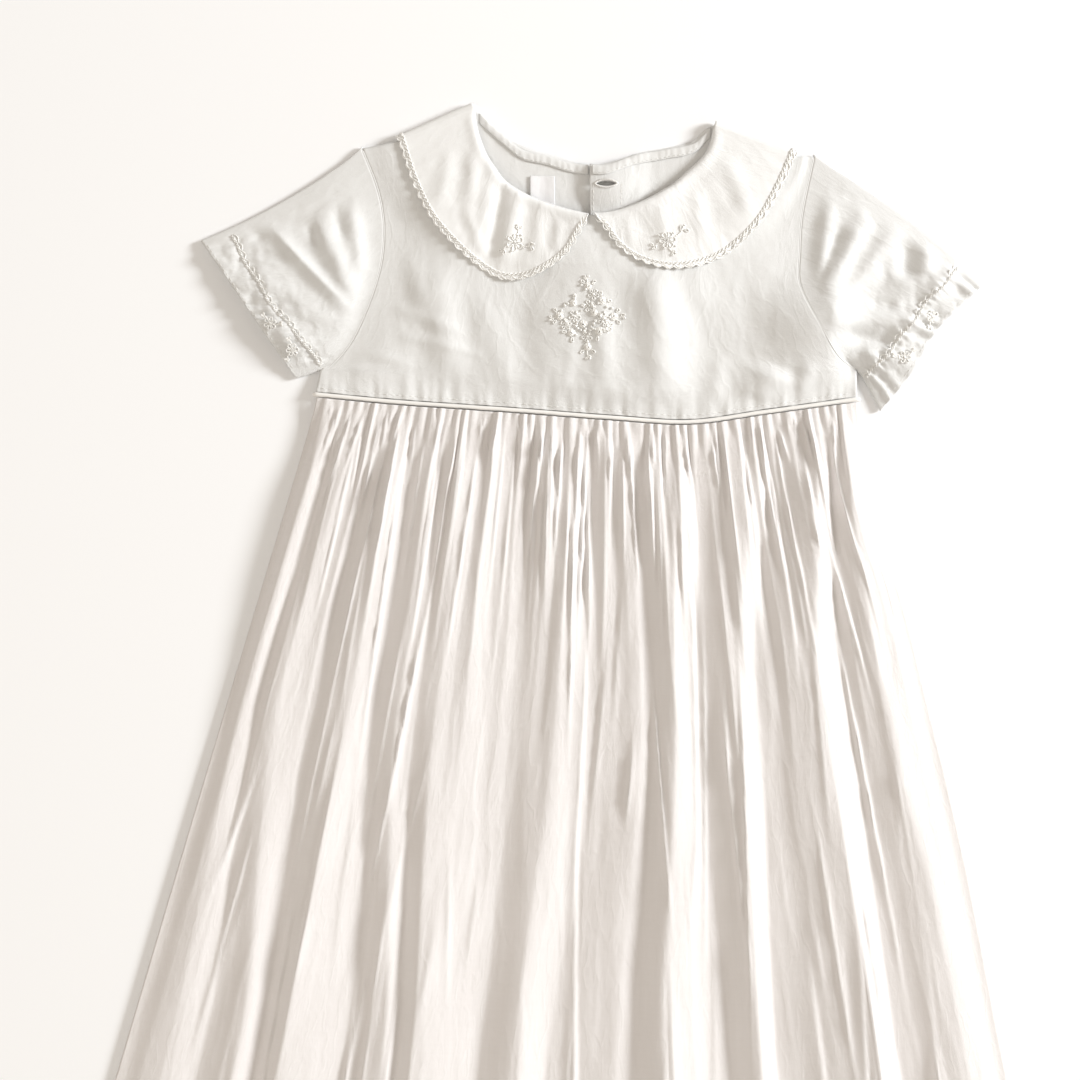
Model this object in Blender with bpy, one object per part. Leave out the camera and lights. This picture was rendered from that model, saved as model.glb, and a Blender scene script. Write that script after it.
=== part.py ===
"""Christening gown laid flat on its back, modelled piece by piece as it is cut and sewn.

All sizes are in millimetres. x runs across the gown, y from the hem towards the neck and z up
from the surface it lies on. The working origin is the middle of the front waist seam; the gown
is then moved so that its own middle stands over the world origin.
"""
import math

import bmesh
import bpy
from mathutils import Vector

MM = 0.001

# Cloth: wall of one layer, and the gap left at a seam or between two layers
WALL = 1.0
SEAM = 0.3
LAYER = WALL + SEAM

# Skirt
SKIRT_LENGTH = 640.0
HEM_RISE_LEFT = 30.0
HEM_RISE_RIGHT = 19.0
GATHERS = 58
GATHER_HEIGHT = 2.2
GATHER_PUFF = 1.6
GATHER_SHORTEST = 16.0
GATHER_LONGEST = 150.0
SIDE_FADE = 0.03

# Cord in the waist seam
CORD = 2.2
CORD_BACK_Z = CORD / 2 + 0.05
CORD_FRONT_Z = CORD_BACK_Z + CORD + SEAM
WAIST_LIFT = CORD_FRONT_Z - WALL / 2 - LAYER

# Centre-back opening
LAP_EDGE = 0.0
LAP_UNDER_EDGE = 20.0
CENTRE_BACK = 7.7
# name, y of the button, y of its buttonhole, and how far the hole gapes
BUTTON_ROWS = (
    ("button_top", 113.0, 109.4, 2.4),
    ("button_middle", 64.3, 64.3, 0.9),
    ("button_bottom", 27.9, 27.9, 0.9),
)
BUTTON_WIDTH = 10.0
BUTTON_THICK = 1.6
BUTTON_HOLE = 1.2
BUTTON_FLAT = 10.2
BUTTON_REACH = 22.0
BUTTONHOLE_LENGTH = 9.6

# Front of the bodice
DOME_HEIGHT = 3.3
DOME_MIDDLE = 9.0
DOME_HALF = 60.0
PUFF = 1.8
NECK_INSET = 0.8
NECK_MIDDLE = (2.0, 125.0)
UNDERARM_SHARE = 0.09
BODICE_ROWS = 9

# Collar and the loop it makes over the shoulder
FOLD_OUTER = (2 * LAYER + LAYER + WALL) / 2
FOLD_INNER = FOLD_OUTER - WALL
COLLAR_REST = SEAM + 0.15
# The collar stands this much freer of the bodice over its folds, from this height of fold
COLLAR_FREE = 0.9
FREE_FROM = 0.3

# Waist seam: x, y
WAIST = (
    (-133.0, 8.6),
    (-93.0, 4.8),
    (-38.0, 1.0),
    (13.0, -2.9),
    (48.0, -4.8),
    (84.0, 0.0),
    (129.0, 6.2),
)

# Side edges of the skirt: depth below the waist, left x, right x
SKIRT_SIDES = (
    (-10.0, -130.5, 128.0),
    (0.0, -132.8, 128.4),
    (45.0, -146.0, 133.0),
    (85.0, -158.0, 148.0),
    (135.0, -173.0, 161.0),
    (215.0, -197.0, 180.0),
    (320.0, -228.0, 200.5),
    (640.0, -321.0, 270.0),
)

# Crests of the main folds of the skirt front and the valleys between them, left to right:
# share of the width at the waist, 130 mm down and 320 mm down; height 130 mm and 320 mm down
SKIRT_FOLDS = (
    (0.000, 0.000, 0.000, 0.0, 0.0),
    (0.030, 0.021, 0.051, 3.0, 5.0),
    (0.060, 0.045, 0.090, 1.0, 1.0),
    (0.085, 0.072, 0.131, 4.0, 7.0),
    (0.130, 0.120, 0.155, 1.5, 1.5),
    (0.173, 0.175, 0.180, 6.0, 9.0),
    (0.200, 0.212, 0.262, 1.0, 0.5),
    (0.230, 0.245, 0.297, 5.0, 6.5),
    (0.255, 0.272, 0.312, 3.0, 3.0),
    (0.285, 0.300, 0.330, 6.5, 9.5),
    (0.400, 0.408, 0.409, 1.0, 0.5),
    (0.450, 0.470, 0.443, 5.0, 7.5),
    (0.510, 0.531, 0.485, 0.5, 0.5),
    (0.570, 0.590, 0.560, 4.0, 4.0),
    (0.590, 0.608, 0.578, 2.5, 2.5),
    (0.655, 0.638, 0.612, 8.0, 10.0),
    (0.700, 0.673, 0.690, 1.0, 0.5),
    (0.790, 0.731, 0.723, 6.0, 8.0),
    (0.830, 0.758, 0.742, 2.0, 2.0),
    (0.915, 0.846, 0.857, 8.5, 10.5),
    (0.945, 0.884, 0.880, 1.0, 1.0),
    (0.975, 0.936, 0.955, 6.0, 7.0),
    (1.000, 1.000, 1.000, 0.0, 0.0),
)

# Main folds of the bodice front: start x, y; end x, y; half width; height
BODICE_FOLDS = (
    (29.0, 74.0, 37.0, 2.0, 11.5, 5.6),
    (89.0, 22.0, 82.0, 2.0, 10.0, 3.8),
)
# The folds fade out under the collar round this height
FOLDS_TOP = 72.0
# Rise that the bodice and the sleeve share at the right armhole:
# x, y of its middle, half width towards the bodice and the sleeve, half length, height
ARM_RISE = (111.0, 42.0, 29.0, 12.0, 21.0, 10.8)

# Armholes from the underarm to the shoulder: x, y
ARMHOLE_LEFT = ((-129.8, 20.2), (-123.5, 23.0), (-112.8, 37.0), (-101.3, 66.7), (-98.9, 87.4),
                (-101.5, 106.0), (-109.4, 126.7))
ARMHOLE_RIGHT = ((128.2, 20.0), (119.0, 26.5), (111.8, 37.0), (100.6, 60.5), (100.6, 78.0),
                 (101.8, 95.0), (107.5, 122.9))

# Sleeves: share of the way from shoulder to underarm; x, y at the hem and halfway along
SLEEVE_LEFT = (
    (0.00, -187.2, 82.6, -147.0, 102.0),
    (0.25, -176.0, 66.5, -138.0, 76.5),
    (0.50, -164.5, 49.8, -133.5, 54.0),
    (0.75, -153.0, 33.0, -131.5, 36.5),
    (1.00, -141.1, 16.3, -135.5, 18.0),
)
SLEEVE_RIGHT = (
    (0.00, 189.6, 61.9, 150.5, 94.8),
    (0.25, 178.5, 51.5, 141.5, 74.0),
    (0.50, 165.5, 38.0, 136.0, 52.0),
    (0.75, 153.0, 17.0, 133.0, 33.0),
    (1.00, 139.5, 0.5, 134.0, 11.5),
)

# Folds of the sleeves, fanned out from the underarm: start x, y; end x, y; half width; height
SLEEVE_LEFT_FOLDS = (
    (-109.5, 64.0, -114.5, 103.0, 4.2, 1.9),
    (-112.5, 53.0, -131.5, 95.0, 5.5, 3.2),
    (-114.0, 46.0, -155.0, 91.0, 3.8, 2.4),
    (-121.0, 40.0, -166.0, 70.0, 7.0, 1.8),
    (-126.0, 29.0, -158.0, 45.0, 6.0, 2.2),
)
SLEEVE_RIGHT_FOLDS = (
    (108.5, 62.0, 115.0, 106.0, 4.5, 2.6),
    (112.0, 56.0, 133.0, 95.0, 5.0, 3.2),
    (117.0, 48.0, 150.0, 92.0, 5.5, 2.2),
    (140.0, 62.0, 174.0, 65.0, 5.5, 2.4),
    (116.0, 42.0, 160.0, 45.0, 5.5, 3.4),
    (126.0, 27.0, 158.0, 25.0, 5.5, 3.0),
)

# Collar halves, front then back: x, y on the neck edge and on the outer edge
COLLAR_LEFT_FRONT = (
    (-1.0, 95.0, -1.4, 92.8),
    (-5.8, 96.0, -5.8, 85.4),
    (-11.5, 97.4, -11.5, 75.8),
    (-17.8, 99.4, -20.6, 68.6),
    (-25.4, 102.2, -31.7, 63.8),
    (-34.1, 106.6, -43.2, 63.8),
    (-40.8, 111.4, -54.2, 70.1),
    (-45.1, 117.1, -66.2, 80.6),
    (-49.4, 123.8, -76.8, 93.1),
    (-53.3, 134.4, -85.4, 110.4),
    (-56.6, 148.8, -93.1, 132.5),
)
COLLAR_LEFT_BACK = (
    (-56.6, 148.8, -93.1, 132.5),
    (-49.0, 140.8, -88.5, 114.0),
    (-40.8, 133.9, -74.0, 100.2),
    (-32.2, 127.2, -55.0, 92.0),
    (-24.0, 125.0, -37.0, 87.0),
    (-16.0, 123.0, -21.0, 86.5),
    (-10.5, 121.3, -10.0, 94.0),
    (-7.5, 120.5, -7.0, 116.0),
)
COLLAR_RIGHT_FRONT = (
    (1.9, 95.3, 3.0, 93.2),
    (6.2, 95.5, 8.2, 87.4),
    (12.5, 96.7, 14.9, 78.2),
    (19.2, 98.9, 24.0, 72.0),
    (26.4, 101.8, 35.5, 68.6),
    (33.6, 105.6, 49.0, 69.1),
    (40.3, 109.9, 61.9, 73.4),
    (46.6, 115.7, 73.4, 81.6),
    (51.8, 120.5, 83.5, 92.6),
    (56.6, 127.2, 92.2, 108.0),
    (60.5, 140.2, 99.8, 125.3),
)
COLLAR_RIGHT_BACK = (
    (60.5, 140.2, 99.8, 125.3),
    (55.2, 135.8, 93.5, 110.0),
    (49.9, 130.6, 80.0, 98.0),
    (43.0, 128.5, 62.0, 90.0),
    (36.5, 127.2, 45.0, 86.5),
    (30.0, 126.0, 32.0, 87.0),
    (25.0, 125.1, 24.0, 96.0),
    (22.5, 124.6, 22.0, 120.0),
)

# Back neck edge from the left shoulder to the right one: x, y
BACK_NECK = ((-55.2, 146.2), (-48.5, 139.6), (-40.8, 132.9), (-32.2, 126.4), (-21.1, 123.8), (-10.0, 120.4),
             (0.5, 118.9), (8.2, 118.9), (21.1, 123.5), (36.5, 126.6), (49.9, 129.6), (58.4, 137.6))

# Half ellipses round the back collar: inside the first everything above is lifted by one layer,
# outside the second nothing is. Middle x, middle y, half width, half depth
COLLAR_UNDER = (3.4, 127.0, 98.5, 54.0)
COLLAR_CLEAR = (-0.5, 127.0, 106.5, 76.0)

# Neck binding on each back: from x, to x; its depth
BINDING_LEFT = (-44.0, -0.8)
BINDING_RIGHT = (1.0, 53.5)
BINDING_DEPTH = 5.0
BINDING_EDGE = 0.4
BINDING_REST = SEAM + 0.1

# Label: left, right, top, bottom and thickness
LABEL = (-28.8, -16.8, 113.4, 99.0)
LABEL_THICK = 1.0


def ease(share):
    """Runs smoothly from 0 to 1 as the share does."""
    share = min(max(share, 0.0), 1.0)
    return share * share * (3.0 - 2.0 * share)


def mix(a, b, share):
    return a + (b - a) * share


def ridge(x, y, x0, y0, x1, y1, half_width, high):
    """Height of a soft fold between two points, fading at both ends."""
    length = math.dist((x0, y0), (x1, y1))
    along = ((x - x0) * (x1 - x0) + (y - y0) * (y1 - y0)) / length ** 2
    beside = ((x - x0) * (y1 - y0) - (y - y0) * (x1 - x0)) / length
    ends = ease(along * 2.5 + 0.2) * ease((1 - along) * 2.5 + 0.2)
    return high * math.exp(-(beside / half_width) ** 2) * ends


def smooth_rows(rows):
    """Smooth curve through a table's rows, read by the value in its first column."""
    keys = [row[0] for row in rows]
    last = len(rows) - 1

    def slope(i, column):
        low, high = max(i - 1, 0), min(i + 1, last)
        return (rows[high][column] - rows[low][column]) / (keys[high] - keys[low])

    def read(key):
        key = min(max(key, keys[0]), keys[-1])
        i = next(n for n in range(last) if key <= keys[n + 1])
        step = keys[i + 1] - keys[i]
        t = (key - keys[i]) / step
        start, end = 1 - ease(t), ease(t)
        leave, arrive = t * (1 - t) ** 2 * step, -t * t * (1 - t) * step
        return tuple(start * rows[i][c] + end * rows[i + 1][c]
                     + leave * slope(i, c) + arrive * slope(i + 1, c) for c in range(1, len(rows[0])))

    return read


def course(points):
    """Smooth line through points, read by the share of its length."""
    lengths = [0.0]
    for a, b in zip(points, points[1:]):
        lengths.append(lengths[-1] + math.dist(a, b))
    return smooth_rows([(length / lengths[-1], *point) for length, point in zip(lengths, points)])


waist_curve = smooth_rows(WAIST)
skirt_sides = smooth_rows(SKIRT_SIDES)


def waist_y(x):
    return waist_curve(x)[0]


def inside_ellipse(x, y, ellipse):
    middle_x, middle_y, half_width, half_depth = ellipse
    return math.hypot((x - middle_x) / half_width, (y - middle_y) / half_depth)


def over_back_collar(x, y):
    """1 where the back collar lies under the panels, easing to 0 away from it."""
    near = inside_ellipse(x, y, COLLAR_UNDER) - 1
    far = 1 - inside_ellipse(x, y, COLLAR_CLEAR)
    if near <= 0:
        return 1.0
    return 0.0 if far <= 0 else ease(far / (far + near))


def over_buttons(x, y):
    """Lift of the backs over the buttons that lie under them."""
    slope = BUTTON_REACH - BUTTON_FLAT
    return max((BUTTON_THICK + SEAM) * ease((BUTTON_REACH - math.dist((x, y), (CENTRE_BACK, row_y))) / slope)
               for _, row_y, _, _ in BUTTON_ROWS)


def back_low(x, y):
    """Underside of the back that lies on the surface."""
    return max(LAYER * over_back_collar(x, y), over_buttons(x, y))


def over_lap(x):
    """1 where the right back lies over the left one, easing to 0 beside it."""
    return ease((LAP_UNDER_EDGE + 11 - x) / 9)


def back_right_low(x, y):
    return back_low(x, y) + LAYER * over_lap(x)


def side_clear(x, y):
    """0 at the bodice's side, armhole, shoulder and waist seams, easing to 1 inside them."""
    left, right = armhole_x(y)
    shoulder = 126.0 + 0.37 * (109.0 - abs(x))
    return (ease((x - left) / 30) * ease((right - x) / 30) * ease((shoulder - 5 - y) / 26)
            * ease((y - waist_y(x)) / 16))


def armhole_x(y):
    """Left and right edge of the bodice at a height."""
    def edge(points):
        for (x0, y0), (x1, y1) in zip(points, points[1:]):
            if y <= y1:
                return mix(x0, x1, max(y - y0, 0) / (y1 - y0))
        return points[-1][0]
    return edge(ARMHOLE_LEFT), edge(ARMHOLE_RIGHT)


def arm_rise(x, y):
    middle_x, middle_y, inward, outward, length, high = ARM_RISE
    beside = (x - middle_x) / (inward if x < middle_x else outward)
    return high * math.exp(-beside ** 2 - ((y - middle_y) / length) ** 2)


def bodice_folds(x, y):
    """Main folds of the bodice front, which run down from under the collar."""
    folds = sum(ridge(x, y, *fold) for fold in BODICE_FOLDS)
    corner_clear = ease((SIDE_RIGHT[0] - x) / 6) * ease((y - waist_y(x)) / 12)
    return folds * ease((FOLDS_TOP - y) / 14 + 0.5) * side_clear(x, y) + arm_rise(x, y) * corner_clear


def front_low(x, y):
    """Underside of the bodice front, which bridges the lapped backs and the collar under them."""
    across = min(abs(x - DOME_MIDDLE) / DOME_HALF, 1.0)
    dome = DOME_HEIGHT * (1 + math.cos(math.pi * across)) / 2 * ease((y - waist_y(x)) / 14)
    collar = LAYER * over_back_collar(x, y)
    seam = WAIST_LIFT * math.exp(-((y - waist_y(x)) / 9) ** 2)
    ripple = 0.45 * math.sin(0.11 * x + 0.035 * y) + 0.35 * math.sin(0.063 * y - 0.05 * x)
    lying = LAYER + math.hypot(dome, collar) + seam + (PUFF + ripple) * side_clear(x, y)
    return lying + bodice_folds(x, y)


def new_material(name, colour, roughness):
    material = bpy.data.materials.new(name)
    material.use_nodes = True
    shader = material.node_tree.nodes["Principled BSDF"]
    shader.inputs["Base Color"].default_value = (*colour, 1.0)
    shader.inputs["Roughness"].default_value = roughness
    shader.inputs["Metallic"].default_value = 0.0
    return material


def add_object(name, mesh, colour, roughness=0.8):
    """Puts a mesh into the gown with a material of its own."""
    piece = bpy.data.objects.new(name, mesh)
    piece.data.materials.append(new_material(name + "_cloth", colour, roughness))
    gown_parts.objects.link(piece)
    piece.parent = gown
    return piece


def cloth_wall(name, inner, outer, colour, tube=False):
    """Closed wall between two sheets of points, each a list of rows of the same length.

    With tube set, each row is a ring and its last point joins its first.
    """
    rows, columns = len(inner), len(inner[0])
    faces_across = columns if tube else columns - 1
    sheet = bmesh.new()
    bmesh.ops.create_grid(sheet, x_segments=faces_across, y_segments=rows - 1, size=1)
    row_of = sheet.verts.layers.int.new("row")
    column_of = sheet.verts.layers.int.new("column")
    side_of = sheet.verts.layers.int.new("side")
    place = {}
    for vert in sheet.verts:
        column = round((vert.co.x + 1) / 2 * faces_across)
        row = round((vert.co.y + 1) / 2 * (rows - 1))
        vert[row_of], vert[column_of] = row, column
        place[row, column] = vert
    if tube:
        joined = {place[row, columns]: place[row, 0] for row in range(rows)}
        bmesh.ops.weld_verts(sheet, targetmap=joined)
    raised = bmesh.ops.extrude_face_region(sheet, geom=sheet.faces[:])["geom"]
    for vert in raised:
        if isinstance(vert, bmesh.types.BMVert):
            vert[side_of] = 1
    for vert in sheet.verts:
        points = outer if vert[side_of] else inner
        vert.co = Vector(points[vert[row_of]][vert[column_of]]) * MM
    bmesh.ops.recalc_face_normals(sheet, faces=sheet.faces[:])
    if sheet.calc_volume(signed=True) < 0:
        bmesh.ops.reverse_faces(sheet, faces=sheet.faces[:])
    mesh = bpy.data.meshes.new(name)
    sheet.to_mesh(mesh)
    sheet.free()
    mesh.shade_smooth()
    mesh.set_sharp_from_angle(angle=math.radians(40))
    return add_object(name, mesh, colour)


def upper_side(low, wall=WALL):
    """Upper side of a lying sheet, raised so that the wall keeps its thickness on slopes."""
    rows, columns = len(low), len(low[0])
    high = []
    for r in range(rows):
        line = []
        for c in range(columns):
            here = low[r][c]
            steep = 0.0
            for n in (max(c - 1, 0), min(c + 1, columns - 1)):
                beside = low[r][n]
                run = math.dist(here[:2], beside[:2])
                steep = max(steep, abs(here[2] - beside[2]) / run if run > 0 else 0.0)
            line.append((here[0], here[1], here[2] + wall * math.hypot(1, steep)))
        high.append(line)
    return high


def patch(bottom, top, left, right, shares_across, shares_up, height):
    """Points of a panel spread between its four edges, each a function of its share.

    The left and right edges pull in only the half of the panel beside them.
    """
    def bend(edge, up):
        straight = [mix(a, b, up) for a, b in zip(edge(0), edge(1))]
        return [a - b for a, b in zip(edge(up), straight)]

    sheet = []
    for up in shares_up:
        row = []
        pull_left, pull_right = bend(left, up), bend(right, up)
        for across in shares_across:
            near_left, near_right = max(1 - 2 * across, 0), max(2 * across - 1, 0)
            x, y = (mix(b, t, up) + near_left * l + near_right * r
                    for b, t, l, r in zip(bottom(across), top(across), pull_left, pull_right))
            row.append((x, y, height(x, y)))
        sheet.append(row)
    return sheet


def broken(*corners):
    """Straight lines between corners given as share, x, y."""
    def read(share):
        for (s0, x0, y0), (s1, x1, y1) in zip(corners, corners[1:]):
            if share <= s1:
                part = (share - s0) / (s1 - s0)
                return mix(x0, x1, part), mix(y0, y1, part)
        return corners[-1][1:]
    return read


def side_edge(seam_foot, armhole):
    """Side seam up to the underarm, then the armhole up to the shoulder."""
    hollow = course(armhole)

    def read(share):
        if share <= UNDERARM_SHARE:
            part = share / UNDERARM_SHARE
            return tuple(mix(a, b, part) for a, b in zip(seam_foot, armhole[0]))
        return hollow((share - UNDERARM_SHARE) / (1 - UNDERARM_SHARE))
    return read


def fold_line(front_rows):
    """Where the flat collar ends before its loop over the shoulder, and which way is out."""
    neck_x, neck_y, edge_x, edge_y = front_rows[-1]
    along = Vector((neck_x - edge_x, neck_y - edge_y)).normalized()
    outward = Vector((-along.y, along.x))
    if outward.y < 0:
        outward.negate()
    neck = Vector((neck_x, neck_y)) - outward * FOLD_OUTER
    edge = Vector((edge_x, edge_y)) - outward * FOLD_OUTER
    return neck, edge, outward


def side_shares():
    return [0.0] + [UNDERARM_SHARE + (1 - UNDERARM_SHARE) * i / BODICE_ROWS for i in range(BODICE_ROWS + 1)]


def away_from_neck(x, y, distance):
    out = Vector((x - NECK_MIDDLE[0], y - NECK_MIDDLE[1])).normalized() * distance
    return x + out.x, y + out.y


waist_gap = CORD / 2 + SEAM
SIDE_LEFT = (-131.5, waist_y(-131.5) + waist_gap)
SIDE_RIGHT = (128.2, waist_y(128.2) + waist_gap)
SHOULDER_LEFT = ARMHOLE_LEFT[-1]
SHOULDER_RIGHT = ARMHOLE_RIGHT[-1]
edge_left = side_edge(SIDE_LEFT, ARMHOLE_LEFT)
edge_right = side_edge(SIDE_RIGHT, ARMHOLE_RIGHT)


def bodice_foot(x0, x1):
    """Bottom edge of a bodice panel, just above the waist cord."""
    def read(share):
        x = mix(x0, x1, share)
        return x, waist_y(x) + waist_gap
    return read


def shoulder_corners(front_rows):
    """Ends of the shoulder edge that lie inside the collar's loop: outer one, then at the neck."""
    neck, edge, outward = fold_line(front_rows)
    along = (neck - edge).normalized()
    inner_end = neck - along * NECK_INSET - outward * 0.1
    outer_end = edge - along * 0.6 - outward * 0.1
    return tuple(outer_end), tuple(inner_end)


def build_bodice_front():
    outer_left, neck_left = shoulder_corners(COLLAR_LEFT_FRONT)
    outer_right, neck_right = shoulder_corners(COLLAR_RIGHT_FRONT)
    neck_points = [neck_left]
    neck_points += [away_from_neck(row[0], row[1], NECK_INSET) for row in COLLAR_LEFT_FRONT[-2:0:-1]]
    neck_points += [(0.4, 94.2)]
    neck_points += [away_from_neck(row[0], row[1], NECK_INSET) for row in COLLAR_RIGHT_FRONT[1:-1]]
    neck_points += [neck_right]
    neck = course(neck_points)
    left_shoulder = broken((0.0, *SHOULDER_LEFT), (0.08, *outer_left), (0.2, *neck_left))
    right_shoulder = broken((0.8, *neck_right), (0.92, *outer_right), (1.0, *SHOULDER_RIGHT))

    def top(share):
        if share < 0.2:
            return left_shoulder(share)
        if share > 0.8:
            return right_shoulder(share)
        return neck((share - 0.2) / 0.6)

    shares = [0.0, 0.04, 0.08, 0.12, 0.16] + [0.2 + 0.6 * i / 16 for i in range(16)]
    shares += [0.8, 0.84, 0.88, 0.92, 0.96, 1.0]
    low = patch(bodice_foot(SIDE_LEFT[0], SIDE_RIGHT[0]), top, edge_left, edge_right,
                shares, side_shares(), front_low)
    cloth_wall("bodice_front", low, upper_side(low), (0.93, 0.91, 0.87))


def back_neck_point(neck, x):
    """Point of the back neck edge at x."""
    low, high = 0.0, 1.0
    for _ in range(40):
        middle = (low + high) / 2
        if neck(middle)[0] < x:
            low = middle
        else:
            high = middle
    return neck(low)


def build_backs():
    """Left back under, right back over it at the centre, with shared lines where they lap."""
    neck = course(BACK_NECK)
    lap_lines = [LAP_EDGE + (LAP_UNDER_EDGE - LAP_EDGE) * i / 4 for i in range(5)]
    outer_left, neck_left = shoulder_corners(COLLAR_LEFT_FRONT)
    outer_right, neck_right = shoulder_corners(COLLAR_RIGHT_FRONT)
    rows_up = side_shares()

    def straight_edge(x):
        foot = (x, waist_y(x) + waist_gap)
        head = (x, back_neck_point(neck, x)[1])
        return lambda share: tuple(mix(a, b, share) for a, b in zip(foot, head))

    left_lines = [-131.5, -119.0, -107.0, -93.0, -78.0, -62.0, -47.0, -32.0, -16.0, -7.0]
    left_top = [SHOULDER_LEFT, None, outer_left, None, None, neck_left]
    right_lines = [28.0, 36.0, 52.0, 67.0, 83.0, 97.0, 111.0, 120.0, 128.2]
    right_top = [neck_right, None, None, outer_right, None, SHOULDER_RIGHT]

    def filled(points):
        """Fills the gaps between known points with even steps."""
        known = [i for i, point in enumerate(points) if point is not None]
        full = []
        for i in range(len(points)):
            before = max(k for k in known if k <= i)
            after = min(k for k in known if k >= i)
            part = (i - before) / (after - before) if after > before else 0.0
            full.append(tuple(mix(a, b, part) for a, b in zip(points[before], points[after])))
        return full

    def neck_tops(lines):
        return [back_neck_point(neck, x) for x in lines]

    left_heads = filled(left_top) + neck_tops([-38.0, -25.0, -14.0, -6.0]) + neck_tops(lap_lines)
    left_feet = left_lines + lap_lines
    right_feet = lap_lines + right_lines
    right_heads = neck_tops(lap_lines) + neck_tops([27.0, 36.0, 47.0]) + filled(right_top)

    def panel(feet, heads, left, right, height):
        lines = len(feet) - 1

        def foot(share):
            x = feet[round(share * lines)]
            return x, waist_y(x) + waist_gap

        def head(share):
            return heads[round(share * lines)]
        return patch(foot, head, left, right, [i / lines for i in range(lines + 1)], rows_up, height)

    colour = (0.92, 0.90, 0.86)
    low_left = panel(left_feet, left_heads, edge_left, straight_edge(LAP_UNDER_EDGE), back_low)
    cloth_wall("bodice_back_left", low_left, upper_side(low_left), colour)
    low_right = panel(right_feet, right_heads, straight_edge(LAP_EDGE), edge_right, back_right_low)
    right_back = cloth_wall("bodice_back_right", low_right, upper_side(low_right), colour)
    for name, _, hole_y, gape in BUTTON_ROWS:
        bpy.ops.mesh.primitive_cylinder_add(vertices=16, radius=0.5 * MM, depth=24 * MM)
        slot = bpy.context.object
        slot.name = name + "_slot"
        slot.scale = (BUTTONHOLE_LENGTH, gape, 1)
        slot.location = (CENTRE_BACK * MM, hole_y * MM, 6 * MM)
        slot.parent = gown
        slot.hide_render = True
        slot.display_type = "WIRE"
        for collection in slot.users_collection:
            collection.objects.unlink(slot)
        cutters.objects.link(slot)
        cut = right_back.modifiers.new(name + "_hole", "BOOLEAN")
        cut.operation = "DIFFERENCE"
        cut.object = slot


def build_binding(name, reach, height, colour):
    """Turned strip along the inside of the back neck, laid on the back."""
    neck = course(BACK_NECK)
    columns = 9
    low = []
    for deep in (BINDING_DEPTH, BINDING_EDGE):
        row = []
        for i in range(columns + 1):
            x, y = back_neck_point(neck, mix(reach[0], reach[1], i / columns))
            row.append((x, y - deep, height(x, y - deep) + WALL + BINDING_REST))
        low.append(row)
    cloth_wall(name, low, upper_side(low), colour)


def build_label():
    left, right, top, bottom = LABEL
    low = [[(x, y, back_low(x, y) + WALL + BINDING_REST) for x in (left, (left + right) / 2, right)]
           for y in (bottom, (bottom + top) / 2, top)]
    cloth_wall("neck_label", low, upper_side(low, LABEL_THICK), (0.95, 0.95, 0.96))


def collar_front_low(x, y):
    """Underside of a front lobe, a little freer of the bodice over its folds."""
    return front_low(x, y) + WALL + COLLAR_REST + COLLAR_FREE * ease(bodice_folds(x, y) / FREE_FROM)


def build_collar(name, front_rows, back_rows, colour):
    """One half: the front lobe on the bodice, a loop over the shoulder and the back lobe under it."""
    flat_neck, flat_edge, outward = fold_line(front_rows)
    flat = (*flat_neck, *flat_edge)
    front = course([*front_rows[:-1], flat])
    back = course([flat, *back_rows[1:]])
    front_columns, loop_columns, back_columns, bands = 22, 4, 9, 4
    middle_z = FOLD_OUTER

    def line_points(section, band):
        share = band / bands
        return mix(section[0], section[2], share), mix(section[1], section[3], share)

    inner, outer = [], []
    for band in range(bands + 1):
        inner_row, outer_row = [], []
        for i in range(front_columns):
            x, y = line_points(front(i / front_columns), band)
            z = max(middle_z + FOLD_INNER, collar_front_low(x, y))
            inner_row.append((x, y, z))
            outer_row.append((x, y, z + WALL))
        for i in range(loop_columns + 1):
            turn = math.pi * (0.5 - i / loop_columns)
            x, y = line_points(flat, band)
            for row, radius in ((inner_row, FOLD_INNER), (outer_row, FOLD_OUTER)):
                reach = radius * math.cos(turn)
                row.append((x + outward.x * reach, y + outward.y * reach, middle_z + radius * math.sin(turn)))
        for i in range(1, back_columns + 1):
            x, y = line_points(back(i / back_columns), band)
            inner_row.append((x, y, WALL))
            outer_row.append((x, y, 0.0))
        inner.append(inner_row)
        outer.append(outer_row)
    cloth_wall(name, inner, outer, colour)


def on_rows(edge, share):
    """Point of a side edge on the straight steps between the bodice's rows; 0 at the shoulder."""
    steps = (1 - share) * BODICE_ROWS
    low = min(int(steps), BODICE_ROWS - 1)
    ends = [edge(UNDERARM_SHARE + (1 - UNDERARM_SHARE) * n / BODICE_ROWS) for n in (low, low + 1)]
    return tuple(mix(a, b, steps - low) for a, b in zip(*ends))


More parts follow.
